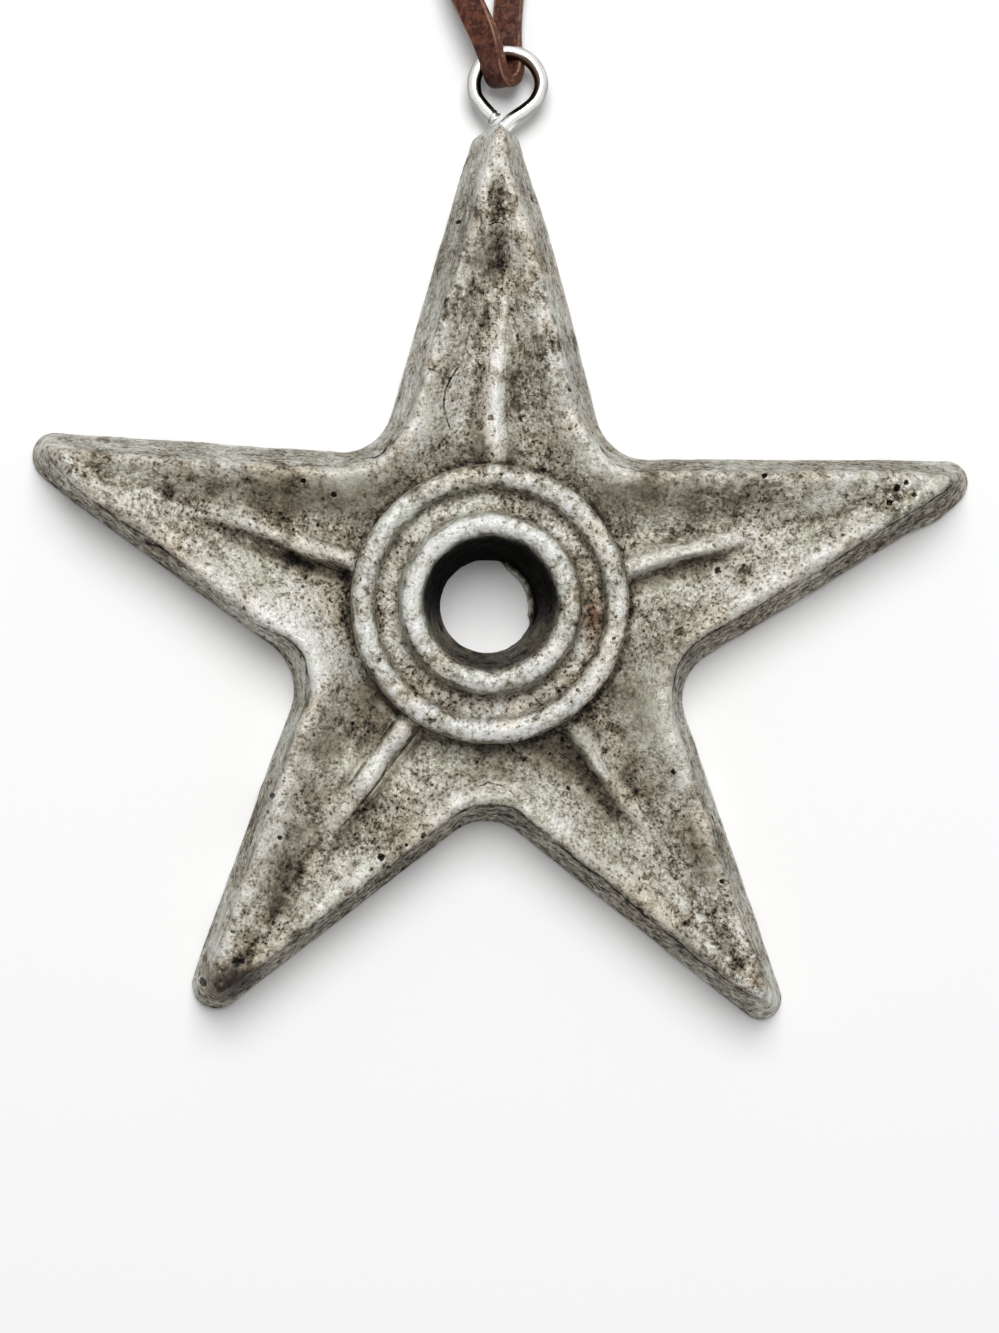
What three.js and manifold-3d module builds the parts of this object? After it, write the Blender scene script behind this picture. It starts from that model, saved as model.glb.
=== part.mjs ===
// Cast star ornament with a wire screw eye and a flat leather hanging lace.
// It lies on its flat back: X across, Y towards the top arm, Z out of the face. Millimetres.

import * as THREE from 'three';
import { mergeVertices } from 'three/addons/utils/BufferGeometryUtils.js';
import Module from 'manifold-3d';

// Star outline at the back face
const STAR_REACH = 58.6;          // hub centre to the sharp corner that the two sides of an arm aim at
const TIP_HALF_ANGLE = 16.2;      // degrees between an arm's axis and its side
const NOTCH_ROUND = 5.7;          // fillet radius between two arms
const ARM_COUNT = 5;

// The sand mould was rammed by hand, so no arm sits quite true: lean in degrees, and extra reach and
// the radius of the worn tip in millimetres
const ARMS = [
  { name: 'top', lean: 0.1, reach: 1.6, tip: 2.1 },
  { name: 'right', lean: -0.5, reach: -0.6, tip: 1.6 },
  { name: 'lower right', lean: 0.3, reach: -1.9, tip: 1.5 },
  { name: 'lower left', lean: 0.7, reach: 0.9, tip: 3.0 },
  { name: 'left', lean: -0.7, reach: -0.2, tip: 2.5 },
];

// Section across an arm, outside edge to trough
const WALL_DRAFT = 1.95;          // how far the outer wall leans in
const WALL_HEIGHT = 7.5;
const RIM_HEIGHT = 8.5;           // crest of the raised rim
const RIM_WIDTH = 1.6;            // rounded top of the rim
const TROUGH_HEIGHT = 5.5;        // floor of the hollow beside the hub
const TROUGH_RUN = 6.4;           // slope from the rim down to the floor
const EDGE_LAND = 0.5;            // upright parting edge round the back

// Ribs down the middle of the arms
const RIB_START = 12.5;
const RIB_END = 32;
const RIB_ROOT_RADIUS = 1.45;
const RIB_END_RADIUS = 0.95;
const RIB_ROOT_TOP = 7.6;
const RIB_END_TOP = 6.9;

// Hub: two beads with a groove between them, round a tapered bore
const HUB_RADIUS = 14.6;
const HUB_SHIFT_X = -0.35;        // the hub core sat off the middle of the star
const HUB_SHIFT_Y = 0.8;
const OUTER_BEAD_WIDTH = 2.5;
const OUTER_BEAD_HEIGHT = 9.9;
const GROOVE_HEIGHT = 8.0;
const INNER_BEAD_RADIUS = 9.35;
const INNER_BEAD_HEIGHT = 11.4;
const BORE_FRONT_RADIUS = 7.0;
const BORE_BACK_RADIUS = 4.9;
const BORE_LIP_ROUND = 0.5;

// Screw eye, bent from one wire
const WIRE_DIAMETER = 1.3;
const EYE_OUTSIDE = 8.7;
const EYE_SIDE_STEP = 0.72;       // the ring stands this far to the right of the star's middle
const SHANK_SIDE_STEP = 0.1;
const SHANK_DEPTH = 8.0;
const SHANK_CLEARANCE = 0.3;
const EYE_TO_TIP = 4.1;           // ring centre above the filed end of the top arm
const TIP_FACE = 52.3;            // the end of the top arm is filed flat here

// Flat leather lace
const LACE_WIDTH = 2.8;
const LACE_THICKNESS = 1.3;
const LACE_BEVEL = 0.3;
const LACE_WRAP_CLEARANCE = 0.4;  // between the leather and the wire that it goes round
const LACE_LIFT = 0.05;           // between the leather and the surface that the ornament lies on
const KNOT_LENGTH = 8.0;
const KNOT_WIDTH = 7.0;
const KNOT_HEIGHT = 4.4;
const KNOT_GAP = 0.3;
const TAIL_LONG = 17;
const TAIL_SHORT = 13;

const wasm = await Module();
wasm.setup();

const deg = THREE.MathUtils.degToRad;
const tipHalf = deg(TIP_HALF_ANGLE);
const notchHalf = tipHalf + Math.PI / ARM_COUNT;
const edgeDistance = STAR_REACH * Math.sin(tipHalf);
const notchReach = edgeDistance / Math.sin(notchHalf);
const sideLength = STAR_REACH * Math.sin(Math.PI / ARM_COUNT) / Math.sin(notchHalf);
const smooth = (t) => t * t * (3 - 2 * t);

// Blend between the leans and reaches of the two arms on either side, fading out at the hub
function handMade(x, y) {
  const r = Math.hypot(x, y);
  if (r < 1e-6) return [x, y];
  const turn = (((Math.PI / 2 - Math.atan2(y, x)) / (2 * Math.PI)) % 1 + 1) % 1 * ARM_COUNT;
  const i = Math.floor(turn) % ARM_COUNT;
  const f = smooth(turn - Math.floor(turn));
  const a = ARMS[i % ARMS.length];
  const b = ARMS[((i + 1) % ARM_COUNT) % ARMS.length];
  const away = smooth(Math.min(Math.max((r - HUB_RADIUS) / (STAR_REACH - HUB_RADIUS) * 2, 0), 1));
  const lean = deg(a.lean * (1 - f) + b.lean * f) * away;
  const grow = 1 + (a.reach * (1 - f) + b.reach * f) / STAR_REACH * away;
  const angle = Math.atan2(y, x) + lean;
  return [r * grow * Math.cos(angle), r * grow * Math.sin(angle)];
}

// Outline of the star moved inwards by an even distance, with the same points at every inset
const ARC_STEPS = 6;
const SIDE_STEPS = 4;
function outline(inset) {
  const shrink = (edgeDistance - inset) / edgeDistance;
  const tipOf = (arm) => Math.max(ARMS[arm % ARMS.length].tip - inset, 0.25);
  const centreOf = (arm) => STAR_REACH * shrink - tipOf(arm) / Math.sin(tipHalf);
  const bluntest = Math.max(...ARMS.map((arm, i) => tipOf(i)));
  const room = (sideLength * shrink - bluntest / Math.tan(tipHalf)) * Math.tan(notchHalf);
  const notchRound = Math.min(NOTCH_ROUND + inset, 0.92 * room);
  const points = [];
  for (let arm = 0; arm < ARM_COUNT; arm++) {
    const axis = Math.PI / 2 - arm * 2 * Math.PI / ARM_COUNT;
    const notchAxis = axis - Math.PI / ARM_COUNT;
    const tipRound = tipOf(arm);
    const tipCentre = centreOf(arm);
    const next = (arm + 1) % ARM_COUNT;
    const notchCentre = notchReach * shrink + notchRound / Math.sin(notchHalf);
    const tipArc = [];
    const notchArc = [];
    for (let i = 0; i <= ARC_STEPS; i++) {
      const t = i / ARC_STEPS;
      const swing = (Math.PI / 2 - tipHalf) * (1 - 2 * t);
      tipArc.push([
        tipCentre * Math.cos(axis) + tipRound * Math.cos(axis + swing),
        tipCentre * Math.sin(axis) + tipRound * Math.sin(axis + swing),
      ]);
      const back = notchAxis + Math.PI - (Math.PI / 2 - notchHalf) * (1 - 2 * t);
      notchArc.push([
        notchCentre * Math.cos(notchAxis) + notchRound * Math.cos(back),
        notchCentre * Math.sin(notchAxis) + notchRound * Math.sin(back),
      ]);
    }
    const nextAxis = notchAxis - Math.PI / ARM_COUNT;
    const nextTip = [
      centreOf(next) * Math.cos(nextAxis) + tipOf(next) * Math.cos(nextAxis + Math.PI / 2 - tipHalf),
      centreOf(next) * Math.sin(nextAxis) + tipOf(next) * Math.sin(nextAxis + Math.PI / 2 - tipHalf),
    ];
    points.push(...tipArc);
    for (let i = 1; i < SIDE_STEPS; i++) {
      points.push(mix(tipArc[ARC_STEPS], notchArc[0], i / SIDE_STEPS));
    }
    points.push(...notchArc);
    for (let i = 1; i < SIDE_STEPS; i++) {
      points.push(mix(notchArc[ARC_STEPS], nextTip, i / SIDE_STEPS));
    }
  }
  return points.map(([x, y]) => handMade(x, y));
}

function mix(a, b, t) {
  return [a[0] + (b[0] - a[0]) * t, a[1] + (b[1] - a[1]) * t];
}

// Solid skinned over a stack of outlines from the back face up, closed flat at both ends
function loft(levels) {
  const position = [];
  const index = [];
  const rings = levels.map(({ inset }) => outline(inset));
  const count = rings[0].length;
  rings.forEach((ring, k) => ring.forEach(([x, y]) => position.push(x, y, levels[k].height)));
  for (let k = 0; k + 1 < rings.length; k++) {
    for (let i = 0; i < count; i++) {
      const j = (i + 1) % count;
      const low = k * count;
      const high = low + count;
      index.push(low + i, high + i, low + j, low + j, high + i, high + j);
    }
  }
  const bottom = position.length / 3;
  position.push(0, 0, levels[0].height);
  const top = bottom + 1;
  position.push(0, 0, levels[levels.length - 1].height);
  for (let i = 0; i < count; i++) {
    const j = (i + 1) % count;
    const high = (rings.length - 1) * count;
    index.push(bottom, i, j);
    index.push(top, high + j, high + i);
  }
  const geometry = new THREE.BufferGeometry();
  geometry.setAttribute('position', new THREE.Float32BufferAttribute(position, 3));
  geometry.setIndex(index);
  return geometry;
}

function solid(geometry) {
  const bare = geometry.clone();
  bare.deleteAttribute('normal');
  bare.deleteAttribute('uv');
  const merged = mergeVertices(bare, 1e-4);
  return new wasm.Manifold(new wasm.Mesh({
    numProp: 3,
    vertProperties: new Float32Array(merged.attributes.position.array),
    triVerts: new Uint32Array(merged.index.array),
  }));
}

function geometryOf(manifold) {
  const mesh = manifold.getMesh();
  const geometry = new THREE.BufferGeometry();
  geometry.setAttribute('position', new THREE.BufferAttribute(new Float32Array(mesh.vertProperties), 3));
  geometry.setIndex(new THREE.BufferAttribute(new Uint32Array(mesh.triVerts), 1));
  geometry.computeVertexNormals();
  return geometry;
}

// Turned shape on the hub's axis, from radius and height pairs
function hubPart(profile) {
  const geometry = new THREE.LatheGeometry(profile.map(([r, z]) => new THREE.Vector2(r, z)), 48);
  geometry.rotateX(Math.PI / 2);
  geometry.translate(HUB_SHIFT_X, HUB_SHIFT_Y, 0);
  return geometry;
}

// Casting: outer wall, rounded rim and sloped trough follow the star's outline
const rimStart = WALL_DRAFT;
const rimMiddle = WALL_DRAFT + RIM_WIDTH / 2;
const rimEnd = WALL_DRAFT + RIM_WIDTH;
const slope = RIM_HEIGHT - TROUGH_HEIGHT;
let casting = solid(loft([
  { inset: 0, height: 0 },
  { inset: 0, height: EDGE_LAND },
  { inset: rimStart, height: WALL_HEIGHT },
  { inset: rimStart + RIM_WIDTH * 0.18, height: WALL_HEIGHT + (RIM_HEIGHT - WALL_HEIGHT) * 0.75 },
  { inset: rimMiddle, height: RIM_HEIGHT },
  { inset: rimEnd - RIM_WIDTH * 0.12, height: RIM_HEIGHT - slope * 0.12 },
  { inset: rimEnd + TROUGH_RUN * 0.25, height: RIM_HEIGHT - slope * 0.45 },
  { inset: rimEnd + TROUGH_RUN * 0.6, height: RIM_HEIGHT - slope * 0.84 },
  { inset: rimEnd + TROUGH_RUN, height: TROUGH_HEIGHT },
]));

// Hub, turned as one plug
const beadInner = HUB_RADIUS - OUTER_BEAD_WIDTH;
const beadMiddle = HUB_RADIUS - OUTER_BEAD_WIDTH / 2;
const crown = (middle, half, base, height, steps) => {
  const points = [];
  for (let i = 0; i <= steps; i++) {
    const a = Math.PI * i / steps;
    points.push([middle + half * Math.cos(a), base + (height - base) * Math.sin(a)]);
  }
  return points;
};
const lipMiddle = (INNER_BEAD_RADIUS + BORE_FRONT_RADIUS) / 2;
const lipHalf = (INNER_BEAD_RADIUS - BORE_FRONT_RADIUS) / 2;
const lipBase = INNER_BEAD_HEIGHT - lipHalf;
casting = casting.add(solid(hubPart([
  [0, TROUGH_HEIGHT / 2],
  [HUB_RADIUS, TROUGH_HEIGHT / 2],
  ...crown(beadMiddle, OUTER_BEAD_WIDTH / 2, OUTER_BEAD_HEIGHT - OUTER_BEAD_WIDTH / 2, OUTER_BEAD_HEIGHT, 6),
  [beadInner, GROOVE_HEIGHT],
  [INNER_BEAD_RADIUS, GROOVE_HEIGHT],
  ...crown(lipMiddle, lipHalf, lipBase, INNER_BEAD_HEIGHT, 6).slice(0, 6),
  [BORE_FRONT_RADIUS - BORE_LIP_ROUND, lipBase],
  [0, lipBase],
])));

// Ribs, tapered and round-ended, sunk in the trough
const ribLength = RIB_END - RIB_START;
const ribEnd = (radius, from, to, base) => {
  const points = [];
  for (let i = 0; i <= 3; i++) {
    const a = from + (to - from) * i / 3;
    points.push([Math.max(radius * Math.cos(a), 0), base + radius * Math.sin(a)]);
  }
  return points;
};
for (let arm = 0; arm < ARM_COUNT; arm++) {
  const profile = [
    ...ribEnd(RIB_ROOT_RADIUS, -Math.PI / 2, 0, 0),
    ...ribEnd(RIB_END_RADIUS, 0, Math.PI / 2, ribLength),
  ];
  profile[0][0] = 0;
  profile[profile.length - 1][0] = 0;
  const rib = new THREE.LatheGeometry(profile.map(([r, y]) => new THREE.Vector2(r, y)), 12);
  const fall = RIB_ROOT_TOP - RIB_ROOT_RADIUS - (RIB_END_TOP - RIB_END_RADIUS);
  rib.rotateX(-Math.atan2(fall, ribLength));
  rib.translate(0, RIB_START, RIB_ROOT_TOP - RIB_ROOT_RADIUS);
  rib.rotateZ(-arm * 2 * Math.PI / ARM_COUNT + deg(ARMS[arm % ARMS.length].lean) / 2);
  casting = casting.add(solid(rib));
}

// Tapered bore through the hub
const boreSlope = (BORE_FRONT_RADIUS - BORE_BACK_RADIUS) / lipBase;
casting = casting.subtract(solid(hubPart([
  [0, -1],
  [BORE_BACK_RADIUS - boreSlope, -1],
  [BORE_FRONT_RADIUS, lipBase],
  [BORE_FRONT_RADIUS + 0.001, INNER_BEAD_HEIGHT + 1],
  [0, INNER_BEAD_HEIGHT + 1],
])));

// Filed end of the top arm, and the blind hole for the eye's shank
const wireRadius = WIRE_DIAMETER / 2;
const eyeHeight = wireRadius + LACE_WRAP_CLEARANCE + LACE_THICKNESS + LACE_LIFT;
const eyeRadius = (EYE_OUTSIDE - WIRE_DIAMETER) / 2;
const eyeCentre = new THREE.Vector3(EYE_SIDE_STEP, TIP_FACE + EYE_TO_TIP, eyeHeight);
const file = new THREE.BoxGeometry(40, 40, 40);
file.translate(0, TIP_FACE + 20, 0);
casting = casting.subtract(solid(file));
const holeRadius = wireRadius + SHANK_CLEARANCE;
const hole = new THREE.CylinderGeometry(holeRadius, holeRadius, 2 * (SHANK_DEPTH + SHANK_CLEARANCE), 16);
hole.translate(SHANK_SIDE_STEP, TIP_FACE, eyeHeight);
casting = casting.subtract(solid(hole));

// Screw eye: left leg with its cut end, ring, right leg bending into the shank
const ringArc = (degrees) => [eyeRadius * Math.cos(deg(degrees)), eyeRadius * Math.sin(deg(degrees))];
const legFoot = eyeRadius * 0.82;
const shankX = SHANK_SIDE_STEP - EYE_SIDE_STEP;
const wirePoints = [
  [-eyeRadius * 0.4, -eyeRadius * 0.87],
  [-eyeRadius * 0.72, -eyeRadius * 0.59],
  ...[198, 170, 142, 114, 86, 58, 30, 2, -20].map(ringArc),
  [eyeRadius * 0.74, -eyeRadius * 0.58],
  [eyeRadius * 0.36, -legFoot],
  [shankX + wireRadius * 0.55, -EYE_TO_TIP + wireRadius * 0.9],
  [shankX, -EYE_TO_TIP - wireRadius * 0.3],
  [shankX, -EYE_TO_TIP - SHANK_DEPTH * 0.5],
  [shankX, -EYE_TO_TIP - SHANK_DEPTH],
];
const wirePath = new THREE.CatmullRomCurve3(
  wirePoints.map(([x, y]) => new THREE.Vector3(x, y, 0).add(eyeCentre)), false, 'centripetal');
const round = new THREE.Shape();
round.absarc(0, 0, wireRadius, 0, 2 * Math.PI, false);
const eyeGeometry = new THREE.ExtrudeGeometry(round, { steps: 60, curveSegments: 6, extrudePath: wirePath });

// Route of a strap. Its sections fall evenly between its points, so that a tight turn gets short steps,
// and the strap lies flat at both ends, with what it twists on the way let out over its second half.
// It never sinks below the height at which it rests on the surface.
const layHeight = LACE_LIFT + LACE_THICKNESS / 2;
class Route extends THREE.CatmullRomCurve3 {
  getPoint(t, target) {
    const point = super.getPoint(t, target);
    point.z = Math.max(point.z, layHeight);
    return point;
  }

  getUtoTmapping(u) {
    return u;
  }

  computeFrenetFrames(segments) {
    const frames = { tangents: [], normals: [], binormals: [] };
    const flat = (t) => new THREE.Vector3(0, 0, 1).addScaledVector(t, -t.z).normalize();
    for (let i = 0; i <= segments; i++) {
      const t = this.getTangentAt(i / segments).normalize();
      const last = i ? frames.normals[i - 1].clone() : flat(t);
      frames.tangents.push(t);
      frames.normals.push(last.addScaledVector(t, -last.dot(t)).normalize());
    }
    const end = frames.normals[segments];
    const t = frames.tangents[segments];
    const goal = flat(t).multiplyScalar(Math.sign(end.z) || 1);
    const twist = Math.atan2(t.dot(end.clone().cross(goal)), end.dot(goal));
    for (let i = 0; i <= segments; i++) {
      const share = smooth(Math.min(Math.max((i / segments - 0.5) / 0.3, 0), 1));
      frames.normals[i].applyAxisAngle(frames.tangents[i], twist * share);
      frames.binormals.push(frames.tangents[i].clone().cross(frames.normals[i]));
    }
    return frames;
  }
}

// Flat strap section, thin along the first axis
function strapSection(thickness, width, bevel) {
  const t = thickness / 2;
  const w = width / 2;
  return new THREE.Shape([
    [t, -w + bevel], [t, w - bevel], [t - bevel, w], [-t + bevel, w],
    [-t, w - bevel], [-t, -w + bevel], [-t + bevel, -w], [t - bevel, -w],
  ].map(([x, y]) => new THREE.Vector2(x, y)));
}

// Lace: lies on the surface, dips through the eye round its top wire, and comes back over it
const knotCentre = new THREE.Vector3(-5.7, 85, KNOT_HEIGHT / 2 + LACE_LIFT - eyeHeight).add(eyeCentre);
const wrap = wireRadius + LACE_WRAP_CLEARANCE + LACE_THICKNESS / 2;
const fromEye = (x, y, z) => new THREE.Vector3(x, y, z).add(eyeCentre);
const laid = (x, y, lift = 0) => fromEye(x, y, 0).setZ(layHeight + lift);
const rightEnd = [0.36, -0.933];
const leftEnd = [-0.4, -0.917];
const knotEdge = ([dx, dy]) => {
  const reach = 1 / Math.hypot(dx / (KNOT_WIDTH / 2), dy / (KNOT_LENGTH / 2)) + KNOT_GAP;
  return new THREE.Vector3(knotCentre.x + dx * reach, knotCentre.y + dy * reach, layHeight + 0.9);
};
const lacePoints = [
  knotEdge(rightEnd),
  knotEdge(rightEnd).add(new THREE.Vector3(rightEnd[0] * 5, rightEnd[1] * 5, -0.5)),
  laid(-0.3, 69),
  laid(2.5, 60),
  laid(4.1, 51),
  laid(4.7, 42),
  laid(4.3, 33),
  laid(3.1, 25),
  laid(1.6, 17.5),
  laid(0.3, 11),
  fromEye(-0.12, 6.6, -wrap),
  fromEye(-0.2, 4.6, -wrap),
  fromEye(-0.28, 3.1, -wrap),
  fromEye(-0.38, 1.9, -wrap * 0.86),
  fromEye(-0.5, 1.0, -wrap * 0.5),
  fromEye(-0.6, 0.7, 0),
  fromEye(-0.72, 1.0, wrap * 0.5),
  fromEye(-0.88, 1.9, wrap * 0.86),
  fromEye(-1.15, 3.1, wrap),
  fromEye(-1.7, 4.7, wrap),
  fromEye(-2.5, 6.7, wrap * 0.9),
  fromEye(-4.2, 10.7, wrap * 0.55),
  fromEye(-6.9, 18.1, -wrap * 0.2),
  laid(-9.7, 26.1, 0.3),
  laid(-12.1, 34.1),
  laid(-13.9, 43.1),
  laid(-14.5, 52.1),
  laid(-13.7, 61.1),
  laid(-11.7, 69.6),
  knotEdge(leftEnd).add(new THREE.Vector3(leftEnd[0] * 5, leftEnd[1] * 5, -0.5)),
  knotEdge(leftEnd),
];
const laceGeometry = new THREE.ExtrudeGeometry(strapSection(LACE_THICKNESS, LACE_WIDTH, LACE_BEVEL), {
  steps: (lacePoints.length - 1) * 2,
  extrudePath: new Route(lacePoints, false, 'centripetal'),
});

// Knot that ties the two ends, with its tails
const lump = new THREE.SphereGeometry(0.5, 24, 14);
lump.scale(KNOT_WIDTH, KNOT_LENGTH, KNOT_HEIGHT);
lump.translate(knotCentre.x, knotCentre.y, knotCentre.z);
let knot = solid(lump);
for (const [turn, length] of [[10, TAIL_LONG], [-16, TAIL_SHORT]]) {
  const dir = new THREE.Vector3(-Math.sin(deg(turn)), Math.cos(deg(turn)), 0);
  const at = (along, height) => knotCentre.clone().setZ(height).addScaledVector(dir, along);
  const tailPath = new Route([
    at(KNOT_LENGTH * 0.15, knotCentre.z),
    at(KNOT_LENGTH * 0.5, layHeight + 0.9),
    at(KNOT_LENGTH * 0.9, layHeight),
    at(KNOT_LENGTH / 2 + length, layHeight),
  ], false, 'centripetal');
  knot = knot.add(solid(new THREE.ExtrudeGeometry(
    strapSection(LACE_THICKNESS, LACE_WIDTH, LACE_BEVEL), { steps: 8, extrudePath: tailPath })));
}

// Materials
const iron = new THREE.MeshStandardMaterial({ color: 0x9a958c, roughness: 0.62, metalness: 0.75 });
const wire = new THREE.MeshStandardMaterial({ color: 0xd8d6d2, roughness: 0.22, metalness: 1.0 });
const leather = new THREE.MeshStandardMaterial({ color: 0x5e3c2c, roughness: 0.72, metalness: 0.0 });

function named(name, geometry, material) {
  const mesh = new THREE.Mesh(geometry, material);
  mesh.name = name;
  return mesh;
}

const star = named('star_casting', geometryOf(casting), iron);
const eye = named('screw_eye', eyeGeometry, wire);
const lace = named('leather_lace', laceGeometry, leather);
const tie = named('lace_knot', geometryOf(knot), leather);

// The origin is under the middle of the casting and its eye, on the surface that they lie on
const group = new THREE.Group();
group.add(star, eye, lace, tie);
const extent = new THREE.Box3().setFromObject(star).union(new THREE.Box3().setFromObject(eye));
const middle = extent.getCenter(new THREE.Vector3());
group.position.set(-middle.x, -middle.y, 0);

export default group;
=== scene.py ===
import math

import bpy
import numpy as np
from mathutils import Matrix, Vector


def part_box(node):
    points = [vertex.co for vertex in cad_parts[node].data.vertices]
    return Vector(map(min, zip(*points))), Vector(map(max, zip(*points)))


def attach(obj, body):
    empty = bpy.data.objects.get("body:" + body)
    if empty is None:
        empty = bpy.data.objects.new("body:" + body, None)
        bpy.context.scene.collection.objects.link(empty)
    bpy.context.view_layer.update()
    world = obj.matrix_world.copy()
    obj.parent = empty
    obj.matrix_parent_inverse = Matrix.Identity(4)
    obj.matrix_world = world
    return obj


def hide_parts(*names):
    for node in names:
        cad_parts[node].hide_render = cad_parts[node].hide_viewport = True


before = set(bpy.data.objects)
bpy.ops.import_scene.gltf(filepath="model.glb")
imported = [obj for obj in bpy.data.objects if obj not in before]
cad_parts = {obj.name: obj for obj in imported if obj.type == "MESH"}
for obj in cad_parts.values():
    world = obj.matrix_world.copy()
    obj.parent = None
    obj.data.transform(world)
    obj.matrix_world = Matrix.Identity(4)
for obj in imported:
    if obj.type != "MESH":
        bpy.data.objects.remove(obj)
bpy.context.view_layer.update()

mm = 0.001
scene = bpy.context.scene
scene.view_settings.view_transform = "Standard"


# Camera: over the star and looking almost straight down, with the lace at the top of the picture

camera = {
    "place": (-15.87, -20.20, 353.5),   # mm
    "roll": -1.105,                     # degrees
    "nod": -0.918,
    "turn": 2.585,
    "lens": 89.15,
}


def addObject(name, data):
    obj = bpy.data.objects.new(name, data)
    scene.collection.objects.link(obj)
    return obj


def makeCamera(c):
    data = bpy.data.cameras.new("camera")
    data.lens = c["lens"]
    data.sensor_width = 36
    data.clip_start = 0.01
    data.clip_end = 10
    obj = addObject("camera", data)
    toCamera = (Matrix.Rotation(math.radians(c["roll"]), 3, "Z")
                @ Matrix.Rotation(math.radians(c["nod"]), 3, "X")
                @ Matrix.Rotation(math.radians(c["turn"]), 3, "Y"))
    obj.matrix_world = Matrix.Translation(Vector(c["place"]) * mm) @ toCamera.transposed().to_4x4()
    scene.camera = obj


makeCamera(camera)
print("camera placed")


# Meshes and node trees

def newObject(name, vertices, faces):
    # vertices are in mm
    mesh = bpy.data.meshes.new(name)
    mesh.from_pydata((np.asarray(vertices, float) * mm).tolist(), [], faces)
    mesh.update()
    return addObject(name, mesh)


def plainCopy(obj, name):
    # what the modifiers make, as a mesh without modifiers
    graph = bpy.context.evaluated_depsgraph_get()
    mesh = bpy.data.meshes.new_from_object(obj.evaluated_get(graph), depsgraph=graph)
    mesh.name = name
    bpy.data.objects.remove(obj)
    return addObject(name, mesh)


def storePoints(obj, name, values):
    # plain numbers, or vectors in mm
    values = np.asarray(values, float)
    kind, key, scale = ("FLOAT_VECTOR", "vector", mm) if values.ndim == 2 else ("FLOAT", "value", 1)
    attribute = obj.data.attributes.new(name, kind, "POINT")
    attribute.data.foreach_set(key, (values * scale).astype(np.float32).ravel())


def readVectors(items, key):
    values = np.zeros(len(items) * 3, np.float32)
    items.foreach_get(key, values)
    return values.reshape(-1, 3)


def readPoints(obj):
    return readVectors(obj.data.vertices, "co").astype(float) / mm


def writePoints(obj, points):
    obj.data.vertices.foreach_set("co", (points * mm).astype(np.float32).ravel())
    obj.data.update()


class Wire:
    # what a node puts out, so that a tree's sums can be written as sums
    def __init__(self, socket):
        self.socket, self.tree = socket, socket.id_data

    __add__ = __radd__ = lambda self, other: calc("ADD", self, other)
    __mul__ = __rmul__ = lambda self, other: calc("MULTIPLY", self, other)
    __sub__ = lambda self, other: calc("SUBTRACT", self, other)
    __rsub__ = lambda self, other: calc("SUBTRACT", other, self)
    __truediv__ = lambda self, other: calc("DIVIDE", self, other)
    __rtruediv__ = lambda self, other: calc("DIVIDE", other, self)
    __abs__ = lambda self: calc("ABSOLUTE", self)


def treeOf(values):
    return next(value.tree for value in values if isinstance(value, Wire))


def feed(socket, value):
    if isinstance(value, Wire):
        value.tree.links.new(value.socket, socket)
    else:
        socket.default_value = value


def fill(node, given):
    # given is a node's inputs, by name or by number
    for name, value in given.items():
        feed(node.inputs[name], value)


def addNode(tree, kind, given=None, **settings):
    node = tree.nodes.new(kind)
    for key, value in settings.items():
        setattr(node, key, value)
    fill(node, given or {})
    return node


def wiresOf(node):
    return {socket.name: Wire(socket) for socket in node.outputs}


def fromNode(tree, kind, given=None, output=0, **settings):
    return Wire(addNode(tree, kind, given, **settings).outputs[output])


def calc(operation, *values):
    return fromNode(treeOf(values), "ShaderNodeMath", dict(enumerate(values)), operation=operation)


def vectorCalc(operation, *values, output="Vector", **named):
    given = {**dict(enumerate(values)), **named}
    return fromNode(treeOf(given.values()), "ShaderNodeVectorMath", given, output, operation=operation)


def remap(value, low, high, toLow=0, toHigh=1, kind="SMOOTHSTEP"):
    given = {"Value": value, "From Min": low, "From Max": high, "To Min": toLow, "To Max": toHigh}
    return fromNode(value.tree, "ShaderNodeMapRange", given, "Result", interpolation_type=kind)


def noiseOn(vector, scale, detail, roughness, seed, distortion=0):
    given = {"Vector": vector, "W": seed, "Scale": scale, "Detail": detail, "Roughness": roughness,
             "Distortion": distortion}
    return fromNode(vector.tree, "ShaderNodeTexNoise", given, noise_dimensions="4D")


def cellsOn(vector, scale, output="Distance"):
    return fromNode(vector.tree, "ShaderNodeTexVoronoi", {"Vector": vector, "Scale": scale}, output)


def splitVector(vector):
    return [Wire(socket) for socket in addNode(vector.tree, "ShaderNodeSeparateXYZ", {0: vector}).outputs]


def joinVector(*parts):
    return fromNode(treeOf(parts), "ShaderNodeCombineXYZ", dict(enumerate(parts)))


def newTree(name, kind, inputs, outputs):
    # inputs and outputs are name: socket type, or name: (socket type, value)
    tree = bpy.data.node_groups.new(name, kind)
    for direction, sockets in (("INPUT", inputs), ("OUTPUT", outputs)):
        for title, wanted in sockets.items():
            socketType, *value = wanted if isinstance(wanted, tuple) else (wanted,)
            socket = tree.interface.new_socket(title, in_out=direction, socket_type="NodeSocket" + socketType)
            if value:
                socket.default_value = value[0]
    return tree, wiresOf(addNode(tree, "NodeGroupInput")), addNode(tree, "NodeGroupOutput")


def addGeometryNodes(obj, tree, values):
    modifier = obj.modifiers.new(tree.name, "NODES")
    modifier.node_group = tree
    for item in tree.interface.items_tree:
        if item.item_type == "SOCKET" and item.in_out == "INPUT" and item.name in values:
            modifier[item.identifier] = values[item.name]


def movePoints(geometry, **moved):
    # moved is Position or Offset
    return fromNode(geometry.tree, "GeometryNodeSetPosition", {"Geometry": geometry, **moved})


def readAttribute(tree, name, kind="FLOAT"):
    return fromNode(tree, "GeometryNodeInputNamedAttribute", {"Name": name}, data_type=kind)


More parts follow.
